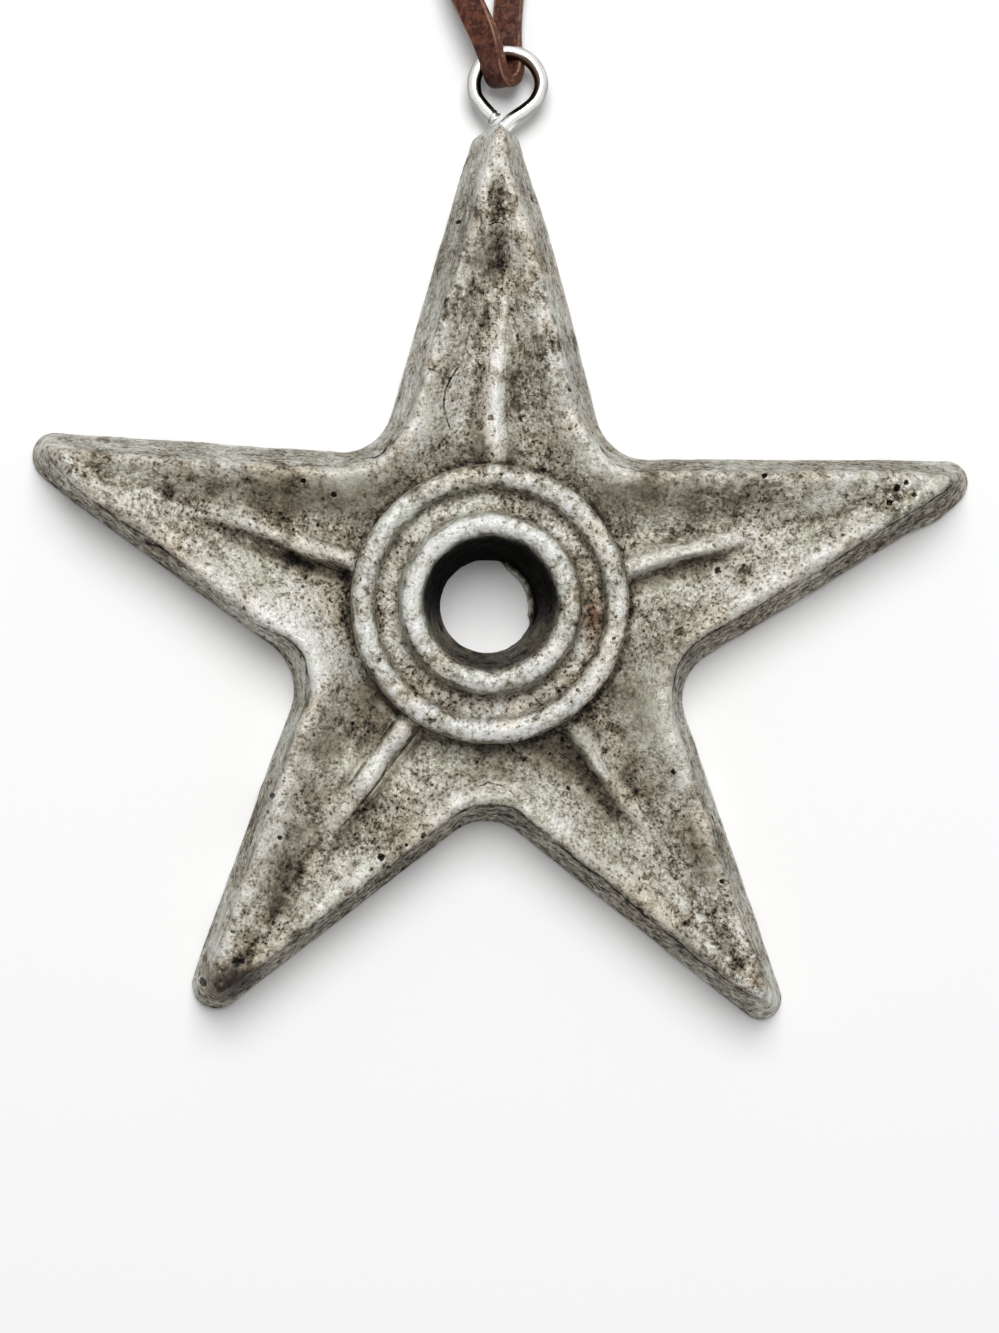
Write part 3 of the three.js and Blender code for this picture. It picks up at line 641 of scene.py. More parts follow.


# What the pour, the file and the years left on this one star, and where shade is painted on it: places from
# its middle and sizes, in mm

marks = {
    # place, radius, depth
    "pits": [(-0.6, 20.4, 0.36, 0.25), (7.6, 23.4, 0.26, 0.25), (-4.3, 41.4, 0.26, 0.2),
             (28.3, 14.9, 0.28, 0.5), (23.8, 4.9, 0.4, 0.16), (-22.7, -19.7, 0.34, 0.22),
             (-23.1, -21.4, 0.24, 0.2), (-21.8, -24.1, 0.3, 0.2), (-6.8, -23.6, 0.33, 0.25),
             (-8.6, -24.6, 0.24, 0.2), (-11.2, -25.9, 0.4, 0.2), (-10.4, -27, 0.26, 0.2),
             (-12.2, -27.2, 0.22, 0.2), (-26.6, -33.9, 0.24, 0.15), (-29.6, -39.5, 0.45, 0.3),
             (42.3, 13.9, 0.4, 0.22), (43.3, 14.5, 0.34, 0.2), (41.6, 12.3, 0.36, 0.2),
             (44.2, 13.2, 0.3, 0.2), (3.1, -13.4, 0.3, 0.2), (12.6, -2.6, 0.26, 0.16), (-13.9, 3, 0.24, 0.16),
             (-8, -8.8, 0.26, 0.18), (-20.1, 13.3, 0.28, 0.2), (-16.9, 12, 0.34, 0.2),
             (19.3, -16.4, 0.3, 0.2), (24.6, -27.8, 0.34, 0.22)],
    "noPit": 2.4,               # radii: further off than a pit's lip reaches
    # half width, and the places that a crack or a crease runs through
    "cracks": [(0.1, [(-3.9, 25.9), (-4.7, 24.6), (-5.3, 23.3), (-5.5, 21.4), (-5.2, 20.2), (-4.8, 19.3)]),
               (0.13, [(-19.4, -6.1), (-19.2, -7.3), (-19.4, -8.6), (-19.2, -10)]),
               (0.12, [(19.6, -6), (19.3, -7.2), (19.5, -8.2)]),
               (0.1, [(-14, 15.8), (-12.2, 16.1), (-11, 17.9)]),
               (0.09, [(10.9, 17.6), (12.2, 16), (13.6, 15.4)]),
               (0.08, [(-1.1, 40.6), (-0.5, 40.9), (0.3, 40.8)]),
               (0.08, [(-0.8, -18.2), (0.1, -18), (1.4, -18.3), (2.4, -18.9)])],
    # place, radius, strength: brown dirt, and painted shade in the bands under the upper rims and beside the
    # ribs, are above 0, and bare metal is below it
    "stainAndShadeSpots": [(-0.1, 43, 2.4, 0.22), (-2.4, 36.7, 1.4, 0.4), (-0.3, 38, 2.6, 0.35), (3.7, 37.1, 2.2, 0.35),
               (0, 33.6, 1.5, -0.7), (-0.2, 46.5, 1.7, -0.9), (-0.1, 49, 1.3, -0.5), (-37.6, 12.6, 2.4, -0.2),
               (-23.3, -1.3, 7, -0.65), (4.6, 29, 2.2, 0.45), (4.4, 24, 2.4, 0.45), (-4.6, 30.5, 1.8, 0.35),
               (-3.2, 17.5, 2.2, 0.3), (-0.5, 19.5, 1.4, -1.1), (-0.5, 23, 1.4, -1.1), (-0.4, 27, 1.2, -0.9),
               (18, 5.7, 2, 0.7), (21.9, 7.2, 1.6, 0.6), (14.6, -8.2, 2.6, 0.9), (16.8, -11.6, 2.4, 0.6),
               (5.9, -14.4, 2.2, 0.6), (8.4, -16, 2.1, 0.9), (10.6, -18.1, 1.8, 1), (12.5, -20.3, 1.5, 0.8),
               (14, -12.6, 1.5, 0.5), (15.2, -15.3, 1.4, 0.6), (16.8, -18.2, 1.3, 0.6), (21.3, -22, 1.5, 0.7),
               (22.4, -24.6, 1.7, 0.9), (23, -27.2, 1.5, 0.9), (-19.8, -23.3, 1.9, 0.7),
               (-20.9, -26.7, 1.8, 0.7), (-21.9, -29.8, 1.6, 0.8), (-22.6, -31.8, 1.4, 0.6),
               (-17.4, -14.6, 2.2, 0.85), (-18.4, -19.3, 1.7, 0.75), (-26.9, -39.3, 2, 1.5),
               (-24.7, -38.9, 1.5, 1.2), (-28.4, -39.9, 1.3, 0.8), (-13, 12.4, 2.6, 0.7),
               (-17, 12.2, 2.7, 0.9), (-21.4, 12, 2.5, 0.9), (-25.6, 11.9, 2.1, 0.85),
               (-29.4, 12.1, 1.8, 0.7), (-33, 12.6, 1.6, 0.5), (-40, 11.4, 3, 0.25), (-46, 14.5, 2.5, 0.3),
               (-17.5, 15.4, 1.2, -0.5), (-21, 15.2, 1.1, -0.5), (-24.5, 15.1, 1, -0.5), (-28, 15, 0.9, -0.4),
               (-12.2, -9.5, 3.4, 0.8), (-5.2, -14.1, 2, 0.4), (0.3, -16.4, 3.2, 0.62), (43.2, 13, 2, 0.4),
               (12.2, 13, 2.3, 0.7), (16.4, 12.7, 2.2, 0.9), (20.7, 12.6, 2, 0.95), (25.4, 12.5, 1.7, 0.7),
               (29.5, 12.6, 1.5, 0.4), (-17.2, 5, 3, 0.4), (28, 3.5, 5, -0.3), (-12, -26.5, 4, -0.05),
               (14.5, -26, 3.5, -0.4), (-20.4, 6, 1.6, 0.4), (-27, -31, 3, -0.4), (10.4, -0.5, 2.2, 0.35),
               (10.2, 3.5, 1.8, 0.25), (29, -36.5, 4, -0.25), (6.5, 25, 4, -0.25), (21, -0.7, 3, 0.2),
               (-17, -29.6, 3, 0.3), (-28.5, -35.5, 2.5, -0.2), (33, 8.5, 4, -0.15)],
    # place, radius, strength of a rough crust, and of rust
    "crust": [(29, -38, 4.2, 1), (24.5, -31.5, 4, 0.8), (18.5, -25, 3, 0.4), (42.5, 12.6, 3.2, 1),
              (48.5, 13, 2.4, 0.4), (-0.2, 43, 2.4, 1), (-45, 13.6, 3.2, 0.6), (5.5, 27.5, 2.6, 0.8),
              (3.4, 22.5, 2, 0.8), (-4.6, 33.5, 2.2, 0.7), (4.6, 35, 2.4, 0.8), (-5.5, 29, 2, 0.5),
              (-27.5, -38.5, 2.6, 0.7), (33, 7, 4, 0.5), (20.5, -2.5, 4, 0.4), (-36, 9, 5, 0.4),
              (-4.2, 38, 1.5, 0.8), (-5.4, 33, 1.6, 0.6), (-6.6, 27, 1.6, 0.4), (3.6, 39.5, 1.5, 0.9),
              (4.9, 34, 1.5, 0.9), (6.1, 29, 1.5, 0.8), (7.2, 24, 1.5, 0.7), (-30, 4, 4, 0.35)],
    "rust": [(10.5, -0.6, 1.1, 1.6), (10.3, -2.3, 0.8, 1), (10.5, 1, 0.8, 1), (-26.4, -39.2, 1.6, 1),
             (-24.4, -38.3, 1.2, 0.8), (-28, -40, 0.9, 0.6)],
    # small errors of the mould's edge: place, radius, move and how high they start
    "nudges": [(48.6, 10.3, 2.8, 0.1, -0.8, -3), (4, 47.5, 5, -0.32, 0, -3), (4.2, 51.5, 2.6, -0.5, 0, -3),
               (-3.2, 46.5, 4, -0.15, 0, -3), (-50, 15.4, 3, 0.25, 0, -3), (-2.8, 47.6, 3.4, 0.1, 0, 3.5),
               (2.6, 47.6, 3.2, 0.1, 0, 3.5), (-4.2, 40.5, 3.6, 0.4, 0, 3.5)],
    # how much further in the wall's top lies on each arm's left and right side, seen from the hub
    "lean": {"Top Arm": (0, 0.35), "Right Arm": (-0.3, 0.1), "Lower Right Arm": (0, -0.35),
             "Lower Left Arm": (-0.45, -0.5), "Left Arm": (-0.85, 0.3)},
    # how high each rib came out, how widely it runs into the trough and where it ends, and the painted shade
    # on its left and on its right side
    "ribs": {"Top Arm": (1.2, 1.9, 32), "Right Arm": (1.1, 1.25, 28), "Lower Right Arm": (0.75, 0.9, 28.5),
             "Lower Left Arm": (0.9, 1.95, 31), "Left Arm": (1.1, 1.45, 32)},
    "ribShade": {"Top Arm": (0.55, 0.55), "Right Arm": (0.1, 1.1), "Lower Right Arm": (0.3, 0.9),
                "Lower Left Arm": (0.75, 0.6), "Left Arm": (1.3, 0.1)},
    "fillFrom": 33,             # towards the tips the trough runs out
    "fillTo": 46,
    "fillShare": 0.6,
    "fillTop": 8.15,
    "swells": [(-9.4, -13.3, 1.8, 0.6), (-12.6, -18, 2, 0.9), (-15.2, -21.9, 1.6, 0.5),
               (-17.5, 5.6, 1.6, 0.4), (-23, 7.3, 1.8, 0.25), (0.1, 33.6, 1.5, 0.4), (17, 5.2, 1.5, 0.2),
               (22.5, -36, 2.2, 0.2), (29, -37, 1.6, 0.25), (27.4, -40.3, 0.9, 0.35),
               (25.3, -37.4, 0.8, 0.35), (30.1, -41, 0.8, 0.3), (28, -34.8, 0.9, 0.3), (31, -38.3, 0.8, 0.25),
               (43.5, 12, 1.3, 0.2), (-3.6, 26.5, 1.8, 0.25), (3.6, 30, 1.6, 0.25)],
    "scoop": (-0.35, 37.3, 1.9, 3.6, 0.6),  # hollow in the top arm: place, half width, half length, depth
    "lump": (-27, 15, 0.9, 0.45),           # bump on the left arm's rim: place, radius, height
    "flash": (4.6, 26, 50, 0.55),           # ledge at the bore's back: radius, angle, half its spread, width
}


def patches(points, spots):
    return sum(strength * np.exp(-((points[:, 0] - x) ** 2 + (points[:, 1] - y) ** 2) / radius ** 2)
               for x, y, radius, strength in spots)


farAway = 9.0       # half widths: no line is near


def nearLines(points, lines):
    # for each point the nearest line: how far to its side it is, and how far away, in half widths
    side, away = np.full(len(points), farAway), np.full(len(points), farAway)
    for half, places in lines:
        line = splineThrough(places, 8)
        for a, b in zip(line[:-1], line[1:]):
            step = b - a
            close = np.flatnonzero(np.abs(points[:, :2] - a).max(1) < 1.6)
            past = points[close, :2] - a
            share = np.clip(past @ step / (step @ step), 0, 1)
            off = past - share[:, None] * step
            distance = np.hypot(*off.T) / half
            nearer = distance < away[close]
            sign = np.sign(step[0] * past[:, 1] - step[1] * past[:, 0])
            chosen = close[nearer]
            side[chosen], away[chosen] = (sign * distance)[nearer], distance[nearer]
    return side, away


def alongArms(own):
    # each point's arm, and its place along that arm and to the left of the arm's middle
    turn = 2 * np.pi / star["armCount"]
    angle = np.arctan2(own[:, 1], own[:, 0]) - np.pi / 2
    number = np.round(angle / turn)
    off, out = angle - number * turn, np.hypot(own[:, 0], own[:, 1])
    return (-number.astype(int)) % star["armCount"], out * np.cos(off), out * np.sin(off), number * turn


def perArm(values):
    return np.array([values[name] for name in star["arms"]])


def moveEdges(points, m):
    # the outline's small errors, and walls that stand steeper on one side of an arm than on the other
    own = points - (*star["middle"], 0)
    for *spot, moveX, moveY, low in m["nudges"]:
        share = patches(own, [(*spot, 1)]) * fade(own[:, 2], low, low + 3)
        points[:, 0] += moveX * share
        points[:, 1] += moveY * share
    arm, along, left, turned = alongArms(own)
    half = math.radians(star["tipHalfAngle"])
    inset = star["reach"] * math.sin(half) - along * math.sin(half) - np.abs(left) * math.cos(half)
    side = np.clip(left / 1.5, -1, 1)
    side *= 1.5 - 0.5 * side ** 2
    leans = perArm(m["lean"])[arm]
    amount = (leans[:, 0] * (1 + side) + leans[:, 1] * (1 - side)) / 2
    amount = amount * np.interp(inset, [0, 1.95, 3.2, 7], [0, 1, 1, 0])
    amount *= fade(np.abs(np.arctan2(left, along)), math.radians(30), math.radians(20)) * fade(along, 51, 46)
    heading = turned + np.pi / 2
    sideways = -amount * math.cos(half) * side
    outward = -amount * math.sin(half)
    points[:, 0] += outward * np.cos(heading) - sideways * np.sin(heading)
    points[:, 1] += outward * np.sin(heading) + sideways * np.cos(heading)
    # the top arm's end was filed to a blunt peak, and the other ends are domed
    peak = (arm == 0) * fade(along, 50.6, 52.4)
    points[:, 0] += left * peak * 0.5
    points[:, 1] -= 0.2 * peak
    points[:, 2] *= 1 - 0.27 * peak - 0.2 * (arm != 0) * fade(along, 48.0, 53.0)
    return points


def shapeRibs(own, m):
    # how far each point rises where a rib was modelled by hand: uneven, and run into the trough on its
    # upper side
    arm, along, left, turned = alongArms(own)
    half = math.radians(star["tipHalfAngle"])
    high, wide, end = perArm(m["ribs"]).T[:, arm]
    straight, left = left, left - 0.22 * np.sin(along / 2.7 + arm * 1.7) * fade(along, 14, 20)
    fromHub = np.hypot(own[:, 0] - star["hubShift"][0], own[:, 1] - star["hubShift"][1])
    inset, level = np.array(star["rim"]).T
    middle = (star["reach"] - along) * math.sin(half)
    base = np.interp(middle - np.abs(straight) * math.cos(half), inset, level)
    share = np.clip((along - ribs["start"]) / (ribs["end"] - ribs["start"]), 0, 1)
    tall = ribs["rootTop"] + (ribs["endTop"] - ribs["rootTop"]) * share - np.interp(middle, inset, level)
    upper = -left * np.sin(turned)
    wide = wide * (1 + 0.42 * np.tanh(upper / 0.6)) * (1 + 0.16 * np.sin(along / 1.3 + arm))
    wide = wide * (1.1 - 0.3 * share)
    wanted = base + tall * high * np.exp(-(left / wide) ** 2) * (1 - fade(along, end - 4, end + 3.5))
    z = own[:, 2]
    # the plain rib goes where it stands too high, and the rib by hand is blended on
    ridge = fade(np.abs(straight), 2.6, 1.8) * fade(along, ribs["end"] + 2.5, ribs["end"] + 1)
    ridge *= fade(fromHub, 14.75, 15.5)
    flat = z + (np.minimum(z, wanted) - z) * ridge
    near = fade(np.abs(left), 5, 3) * fade(fromHub, 14.6, 15.6) * (z > 4) * fade(along, end + 5, end + 2)
    soft = 0.45 * fade(upper, 0.3, 1.2) * np.exp(-(left / 2.6) ** 2) * fade(along, end, end - 5)
    risen = (flat + wanted + np.sqrt((flat - wanted) ** 2 + 0.03 + soft)) / 2 - 0.08
    return (flat + (np.maximum(risen, flat) - flat) * near) - z


def shapeByHand(body, m):
    # local forms on the plain casting, and the marks as values for the material
    points = moveEdges(readPoints(body), m)
    own = points - (*star["middle"], 0)
    x, y, z = own.T
    normals = readVectors(body.data.vertices, "normal")
    up = normals[:, 2]
    out, angle = np.hypot(x, y), np.degrees(np.arctan2(y, x))
    face = fade(up, 0.25, 0.7) * fade(z, 3, 5)
    rise = face * fade(out, m["fillFrom"], m["fillTo"]) * m["fillShare"] * np.maximum(0, m["fillTop"] - z)
    rise += shapeRibs(own, m)
    middleX, middleY, half, long, deep = m["scoop"]
    rise -= face * deep * fade(1 - np.hypot((x - middleX) / half, (y - middleY) / long), 0, 0.75)
    middleX, middleY, half, high = m["lump"]
    rise += face * high * fade(1.4 - np.hypot(x - middleX, y - middleY) / half, 0, 1)
    onBack = z < 2.5
    pits = np.full(len(points), m["noPit"])
    for middleX, middleY, radius, deep in m["pits"]:
        away = np.hypot(x - middleX, y - middleY) / radius
        away[onBack] = m["noPit"]
        rise -= deep * fade(1.25 - away, 0, 0.7)
        pits = np.minimum(pits, away)
    rise += patches(own, m["swells"]) * face
    points[:, 2] += rise
    radius, middle, spread, wide = m["flash"]
    hubX, hubY = x - star["hubShift"][0], y - star["hubShift"][1]
    fromHub = np.hypot(hubX, hubY)
    turn = np.degrees(np.arctan2(hubY, hubX)) - middle
    ledge = fade(1 - np.abs(turn) / spread, 0, 0.35) * fade(z, 1.9, 1.2) * (fromHub < radius + 1.1)
    points[:, 0] -= hubX / fromHub * ledge * wide
    points[:, 1] -= hubY / fromHub * ledge * wide
    writePoints(body, points)
    side, away = nearLines(own, m["cracks"])
    away[onBack] = farAway
    groove = fade(fromHub, 9.3, 9.8) * fade(fromHub, 12.4, 11.9) * (z > 3)
    # painted shade down the bore, darkest on its top wall, which faces away from the lamp; the flash ledge is
    # left lighter
    boreShade = fade(fromHub, 7.4, 6.6) * fade(z, 10.9, 9.9) * (1.8 + 2.0 * fade(hubY / fromHub, -0.6, 0.4))
    boreShade -= (boreShade + 0.8) * ledge
    # where hands and cloth have rubbed the metal bright: the hub's beads and the ribs
    inner, outer = (hub["innerRadius"] + hub["boreFront"]) / 2, star["hubRadius"] - hub["beadWidth"] / 2
    beads = fade(np.abs(fromHub - inner), 1.4, 0.7) + fade(np.abs(fromHub - outer), 1.35, 0.7)
    axis = np.radians(90 + 72 * np.round((angle - 90) / 72))
    beside = np.abs(x * np.sin(axis) - y * np.cos(axis))
    rib = 0.5 * fade(beside, 1.3, 0.4) * fade(out, ribs["end"] + 1, ribs["end"] - 3) * (out > 15) * (z > 6.4)
    arm, along, left, _ = alongArms(own)
    # painted shade beside each rib, more on its side away from the lamp, fading towards the rib's end
    ribShade = perArm(m["ribShade"])
    ribShade = np.where(left > 0, ribShade[arm, 0], ribShade[arm, 1]) * (z > 4)
    ribShade *= fade(np.abs(left), 0.7, 1.3) * fade(np.abs(left), 3.4, 1.6) * fade(along, ribs["end"] + 1, 21)
    ribShade *= fade(along, 14, 15.5)
    apart = 70.0 * arm      # so that no two arms have the same streaks
    for name, values in {
            "bead": np.clip(beads * fade(up, 0.1, 0.5) * (z > 8), 0, 1),
            "rubbed": np.clip(beads * face + rib, 0, 1),
            # painted shade: how far a surface faces -y, away from the lamp
            "shadedSide": fade(-normals[:, 1], 0.15, 0.7) * (fromHub > 16),
            "alongArm": np.c_[left, along + apart, z],
            "drawn": fade(along, 19, 26) * np.where(arm == 0, 1.0, 0.45) * face,
            "pit": pits,
            "crackSide": side,
            "crackAway": away,
            # stains and bare metal, with the painted shade beside the ribs and in the bore added in
            "stainAndShade": patches(own, m["stainAndShadeSpots"]) * (z > 2) + ribShade - 0.5 * groove + boreShade,
            "crust": np.clip(patches(own, m["crust"]) * face + ledge, 0, 1),
            "rust": patches(own, m["rust"]) * (z > 2)}.items():
        storePoints(body, name, values)


skin = {                        # sizes in mm
    "Lump Size": 6.5, "Lump Height": 0.3,
    "Knock Size": 1.9, "Knock Height": 0.15,
    "Sand Size": 0.8, "Sand Height": 0.07,
    "Pit Spacing": 2.1, "Pit Depth": 0.12, "Pit Share": 0.35,
}


def castSkin():
    inputs = {"Geometry": "Geometry", "Seed": ("Float", 4), "Material": "Material",
              **{name: ("Float", value) for name, value in skin.items()}}
    tree, given, result = newTree("castSkin", "GeometryNodeTree", inputs, {"Geometry": "Geometry"})
    place, normal = (fromNode(tree, "GeometryNodeInput" + name) for name in ("Position", "Normal"))
    height, up = splitVector(place)[2], splitVector(normal)[2]
    offFoot = remap(height, 0.05 * mm, 0.35 * mm)   # the flat back has no hollows and no wall
    offBack = remap(height, 0.1 * mm, 1.2 * mm)

    def swell(name, detail, turn):
        wave = noiseOn(place, 1 / mm / given[name + " Size"], detail, 0.5, given["Seed"] + turn)
        return (wave - 0.5) * (given[name + " Height"] * (2 * mm))

    def sunk(turns):
        # how far a point lies below its surroundings, in mm
        around = {"Value": place, "Iterations": turns}
        smooth = fromNode(tree, "GeometryNodeBlurAttribute", around, data_type="FLOAT_VECTOR")
        gap = vectorCalc("SUBTRACT", smooth, place)
        return vectorCalc("DOT_PRODUCT", gap, normal, output="Value") / mm * offFoot

    # a wide look at the hollows, and after the roughening a close one
    geometry = keepAttribute(given["Geometry"], "hollow", sunk(60))
    geometry = keepAttribute(geometry, "wall", remap(up, 0.75, 0.35) * offFoot)
    knocks = swell("Knock", 3, 7) * remap(up, 0.75, 0.35, 1, 1.7)
    sandy = remap(readAttribute(tree, "hollow"), -0.12, 0.05, 0.35, 1)
    rough = swell("Lump", 2, 0) + knocks + swell("Sand", 4, 13) * sandy
    # pits: some of the cells, each with a hole at its middle
    spacing = 1 / mm / given["Pit Spacing"]
    pick = splitVector(cellsOn(place, spacing, "Color"))
    size = remap(pick[1], 0, 1, 0.08, 0.16, "LINEAR")
    pit = remap(cellsOn(place, spacing), size * 1.35, size) * calc("LESS_THAN", pick[0], given["Pit Share"])
    rough = rough - pit * (given["Pit Depth"] * mm)
    geometry = movePoints(geometry, Offset=vectorCalc("SCALE", normal, Scale=rough * offBack))
    geometry = keepAttribute(geometry, "pitted", sunk(5))
    endTree(fromNode(tree, "GeometryNodeSetShadeSmooth", {0: geometry}), given["Material"], result)
    return tree


def makeStar(s, material):
    arm = armWedge(s)
    addRib(arm, ribs)
    plug = hubPlug(hub)
    values = {"Arms": s["armCount"], "Hub Shift": (s["hubShift"][0] * mm, s["hubShift"][1] * mm, 0.0),
              "Hub": plug, "Material": material, **{name: s[key] * mm for name, key in armLengths.items()}}
    for name, (lean, reach, tip) in s["arms"].items():
        values[name] = (math.radians(lean), reach * mm, tip * mm)
    addGeometryNodes(arm, fiveArms(s), values)
    fused = arm.modifiers.new("fused", "REMESH")
    fused.mode = "VOXEL"
    fused.voxel_size = s["voxel"] * mm
    soften = arm.modifiers.new("soften", "SMOOTH")
    soften.factor = 0.5
    soften.iterations = s["soften"]
    body = plainCopy(arm, "starBody")
    bpy.data.objects.remove(plug)
    points = readPoints(body)
    points[:, 2] = np.maximum(points[:, 2], 0)
    points[:, :2] += s["middle"]
    writePoints(body, points)
    shapeByHand(body, marks)
    addGeometryNodes(body, castSkin(), {"Seed": 4.0, "Material": material, **skin})
    thin = body.modifiers.new("thin", "DECIMATE")
    thin.ratio = s["keepShare"]
    body = plainCopy(body, "starCasting")
    points = readPoints(body)
    points[:, 2] = np.maximum(points[:, 2], 0)
    writePoints(body, points)
    facing = readVectors(body.data.polygons, "normal")
    body.data.polygons.foreach_set("use_smooth", facing[:, 2] > -0.9)  # the back is flat
    return body


# Materials. Effects that several of them use are node groups.

def grainGroup():
    # a worn surface: an even noise, masks of dark specks, of bright flecks and of short curled lines, a broad
    # cloud and a height
    inputs = {"Vector": "Vector", "Grain Size": ("Float", 0.5), "Seed": ("Float", 0)}
    outputs = dict.fromkeys(("Grain", "Specks", "Flecks", "Curls", "Cloud", "Height"), "Float")
    tree, given, result = newTree("surfaceGrain", "ShaderNodeTree", inputs, outputs)
    perMeter = 1 / mm / given["Grain Size"]

    def noise(scale, detail, roughness, turn, distortion=0):
        return noiseOn(given["Vector"], scale, detail, roughness, given["Seed"] + turn, distortion)

    fine = noise(perMeter, 3, 0.6, 0)
    other = noise(perMeter * 0.8, 3, 0.65, 5)
    wave = noise(perMeter * 0.35, 2, 0.5, 17, 0.6)
    specks, flecks = remap(fine, 0.42, 0.35), remap(other, 0.54, 0.62)
    curls = remap(abs(wave - 0.5), 0.035, 0.012) * remap(other, 0.5, 0.58)
    fill(result, {"Grain": fine - 0.5, "Specks": specks, "Flecks": flecks, "Curls": curls,
                  "Cloud": noise(perMeter * 0.16, 3, 0.6, 9), "Height": fine + (flecks - specks) * 0.3})
    return tree


grain = grainGroup()


def newMaterial(name, fixed):
    material = bpy.data.materials.new(name)
    material.use_nodes = True
    tree = material.node_tree
    tree.nodes.clear()
    shader = addNode(tree, "ShaderNodeBsdfPrincipled", fixed)
    addNode(tree, "ShaderNodeOutputMaterial", {"Surface": Wire(shader.outputs[0])})
    return material, tree, shader


def objectPlace(tree):
    return fromNode(tree, "ShaderNodeTexCoord", output="Object")


def useGrain(vector, size, seed):
    given = {"Vector": vector, "Grain Size": size, "Seed": seed}
    return wiresOf(addNode(vector.tree, "ShaderNodeGroup", given, node_tree=grain))


def mixColor(share, first, second, kind="MIX"):
    node = addNode(treeOf((share, first, second)), "ShaderNodeMix", data_type="RGBA", blend_type=kind)
    for socket, value in zip((s for s in node.inputs if s.enabled), (share, first, second)):
        feed(socket, (*value, 1) if isinstance(value, tuple) else value)
    return Wire(next(s for s in node.outputs if s.enabled))


def colorOf(value, stops):
    node = addNode(value.tree, "ShaderNodeValToRGB", {0: value})
    ramp = node.color_ramp.elements
    for stop, (place, color) in zip(ramp, (stops[0], stops[-1])):
        stop.position, stop.color = place, (*color, 1)
    for place, color in stops[1:-1]:
        ramp.new(place).color = (*color, 1)
    return Wire(node.outputs[0])


def pointValue(tree, name, output="Fac"):
    return fromNode(tree, "ShaderNodeAttribute", output=output, attribute_name=name)


def weighed(total, terms):
    # total plus each term's value times its weight
    for value, weight in terms:
        total = calc("MULTIPLY_ADD", value, weight, total)
    return total


def bump(shader, height, strength, distance):
    relief = {"Height": height, "Strength": strength, "Distance": distance * mm}
    fill(shader, {"Normal": fromNode(height.tree, "ShaderNodeBump", relief)})


cast = {
    # from packed dirt and painted shade to bare metal
    "tones": [(0.0, (0.004, 0.0035, 0.0025)), (0.2, (0.055, 0.044, 0.029)), (0.4, (0.165, 0.143, 0.1)),
              (0.58, (0.325, 0.3, 0.238)), (0.78, (0.54, 0.52, 0.455)), (1.0, (0.73, 0.72, 0.68))],
    "rust": (0.17, 0.09, 0.04),
    "darkRust": (0.012, 0.008, 0.005),
    "bead": (0.98, 1.0, 1.02),  # tint where hands have rubbed it
    "warm": (1.05, 0.99, 0.93),
    "green": (0.97, 1.0, 0.95),
    "drawn": (0.97, 1.0, 1.04),
    "grainSize": 0.33,          # mm
    "blotchSize": 1.3,
    "driftSize": 7.0,
    "streakSize": 0.9,
    "streakShape": (1.5, 0.42, 1.5),    # across, along and up an arm
    "crustSize": 0.8,
    "pinholes": 1.3,            # mm between them
    "bump": 0.17,
}


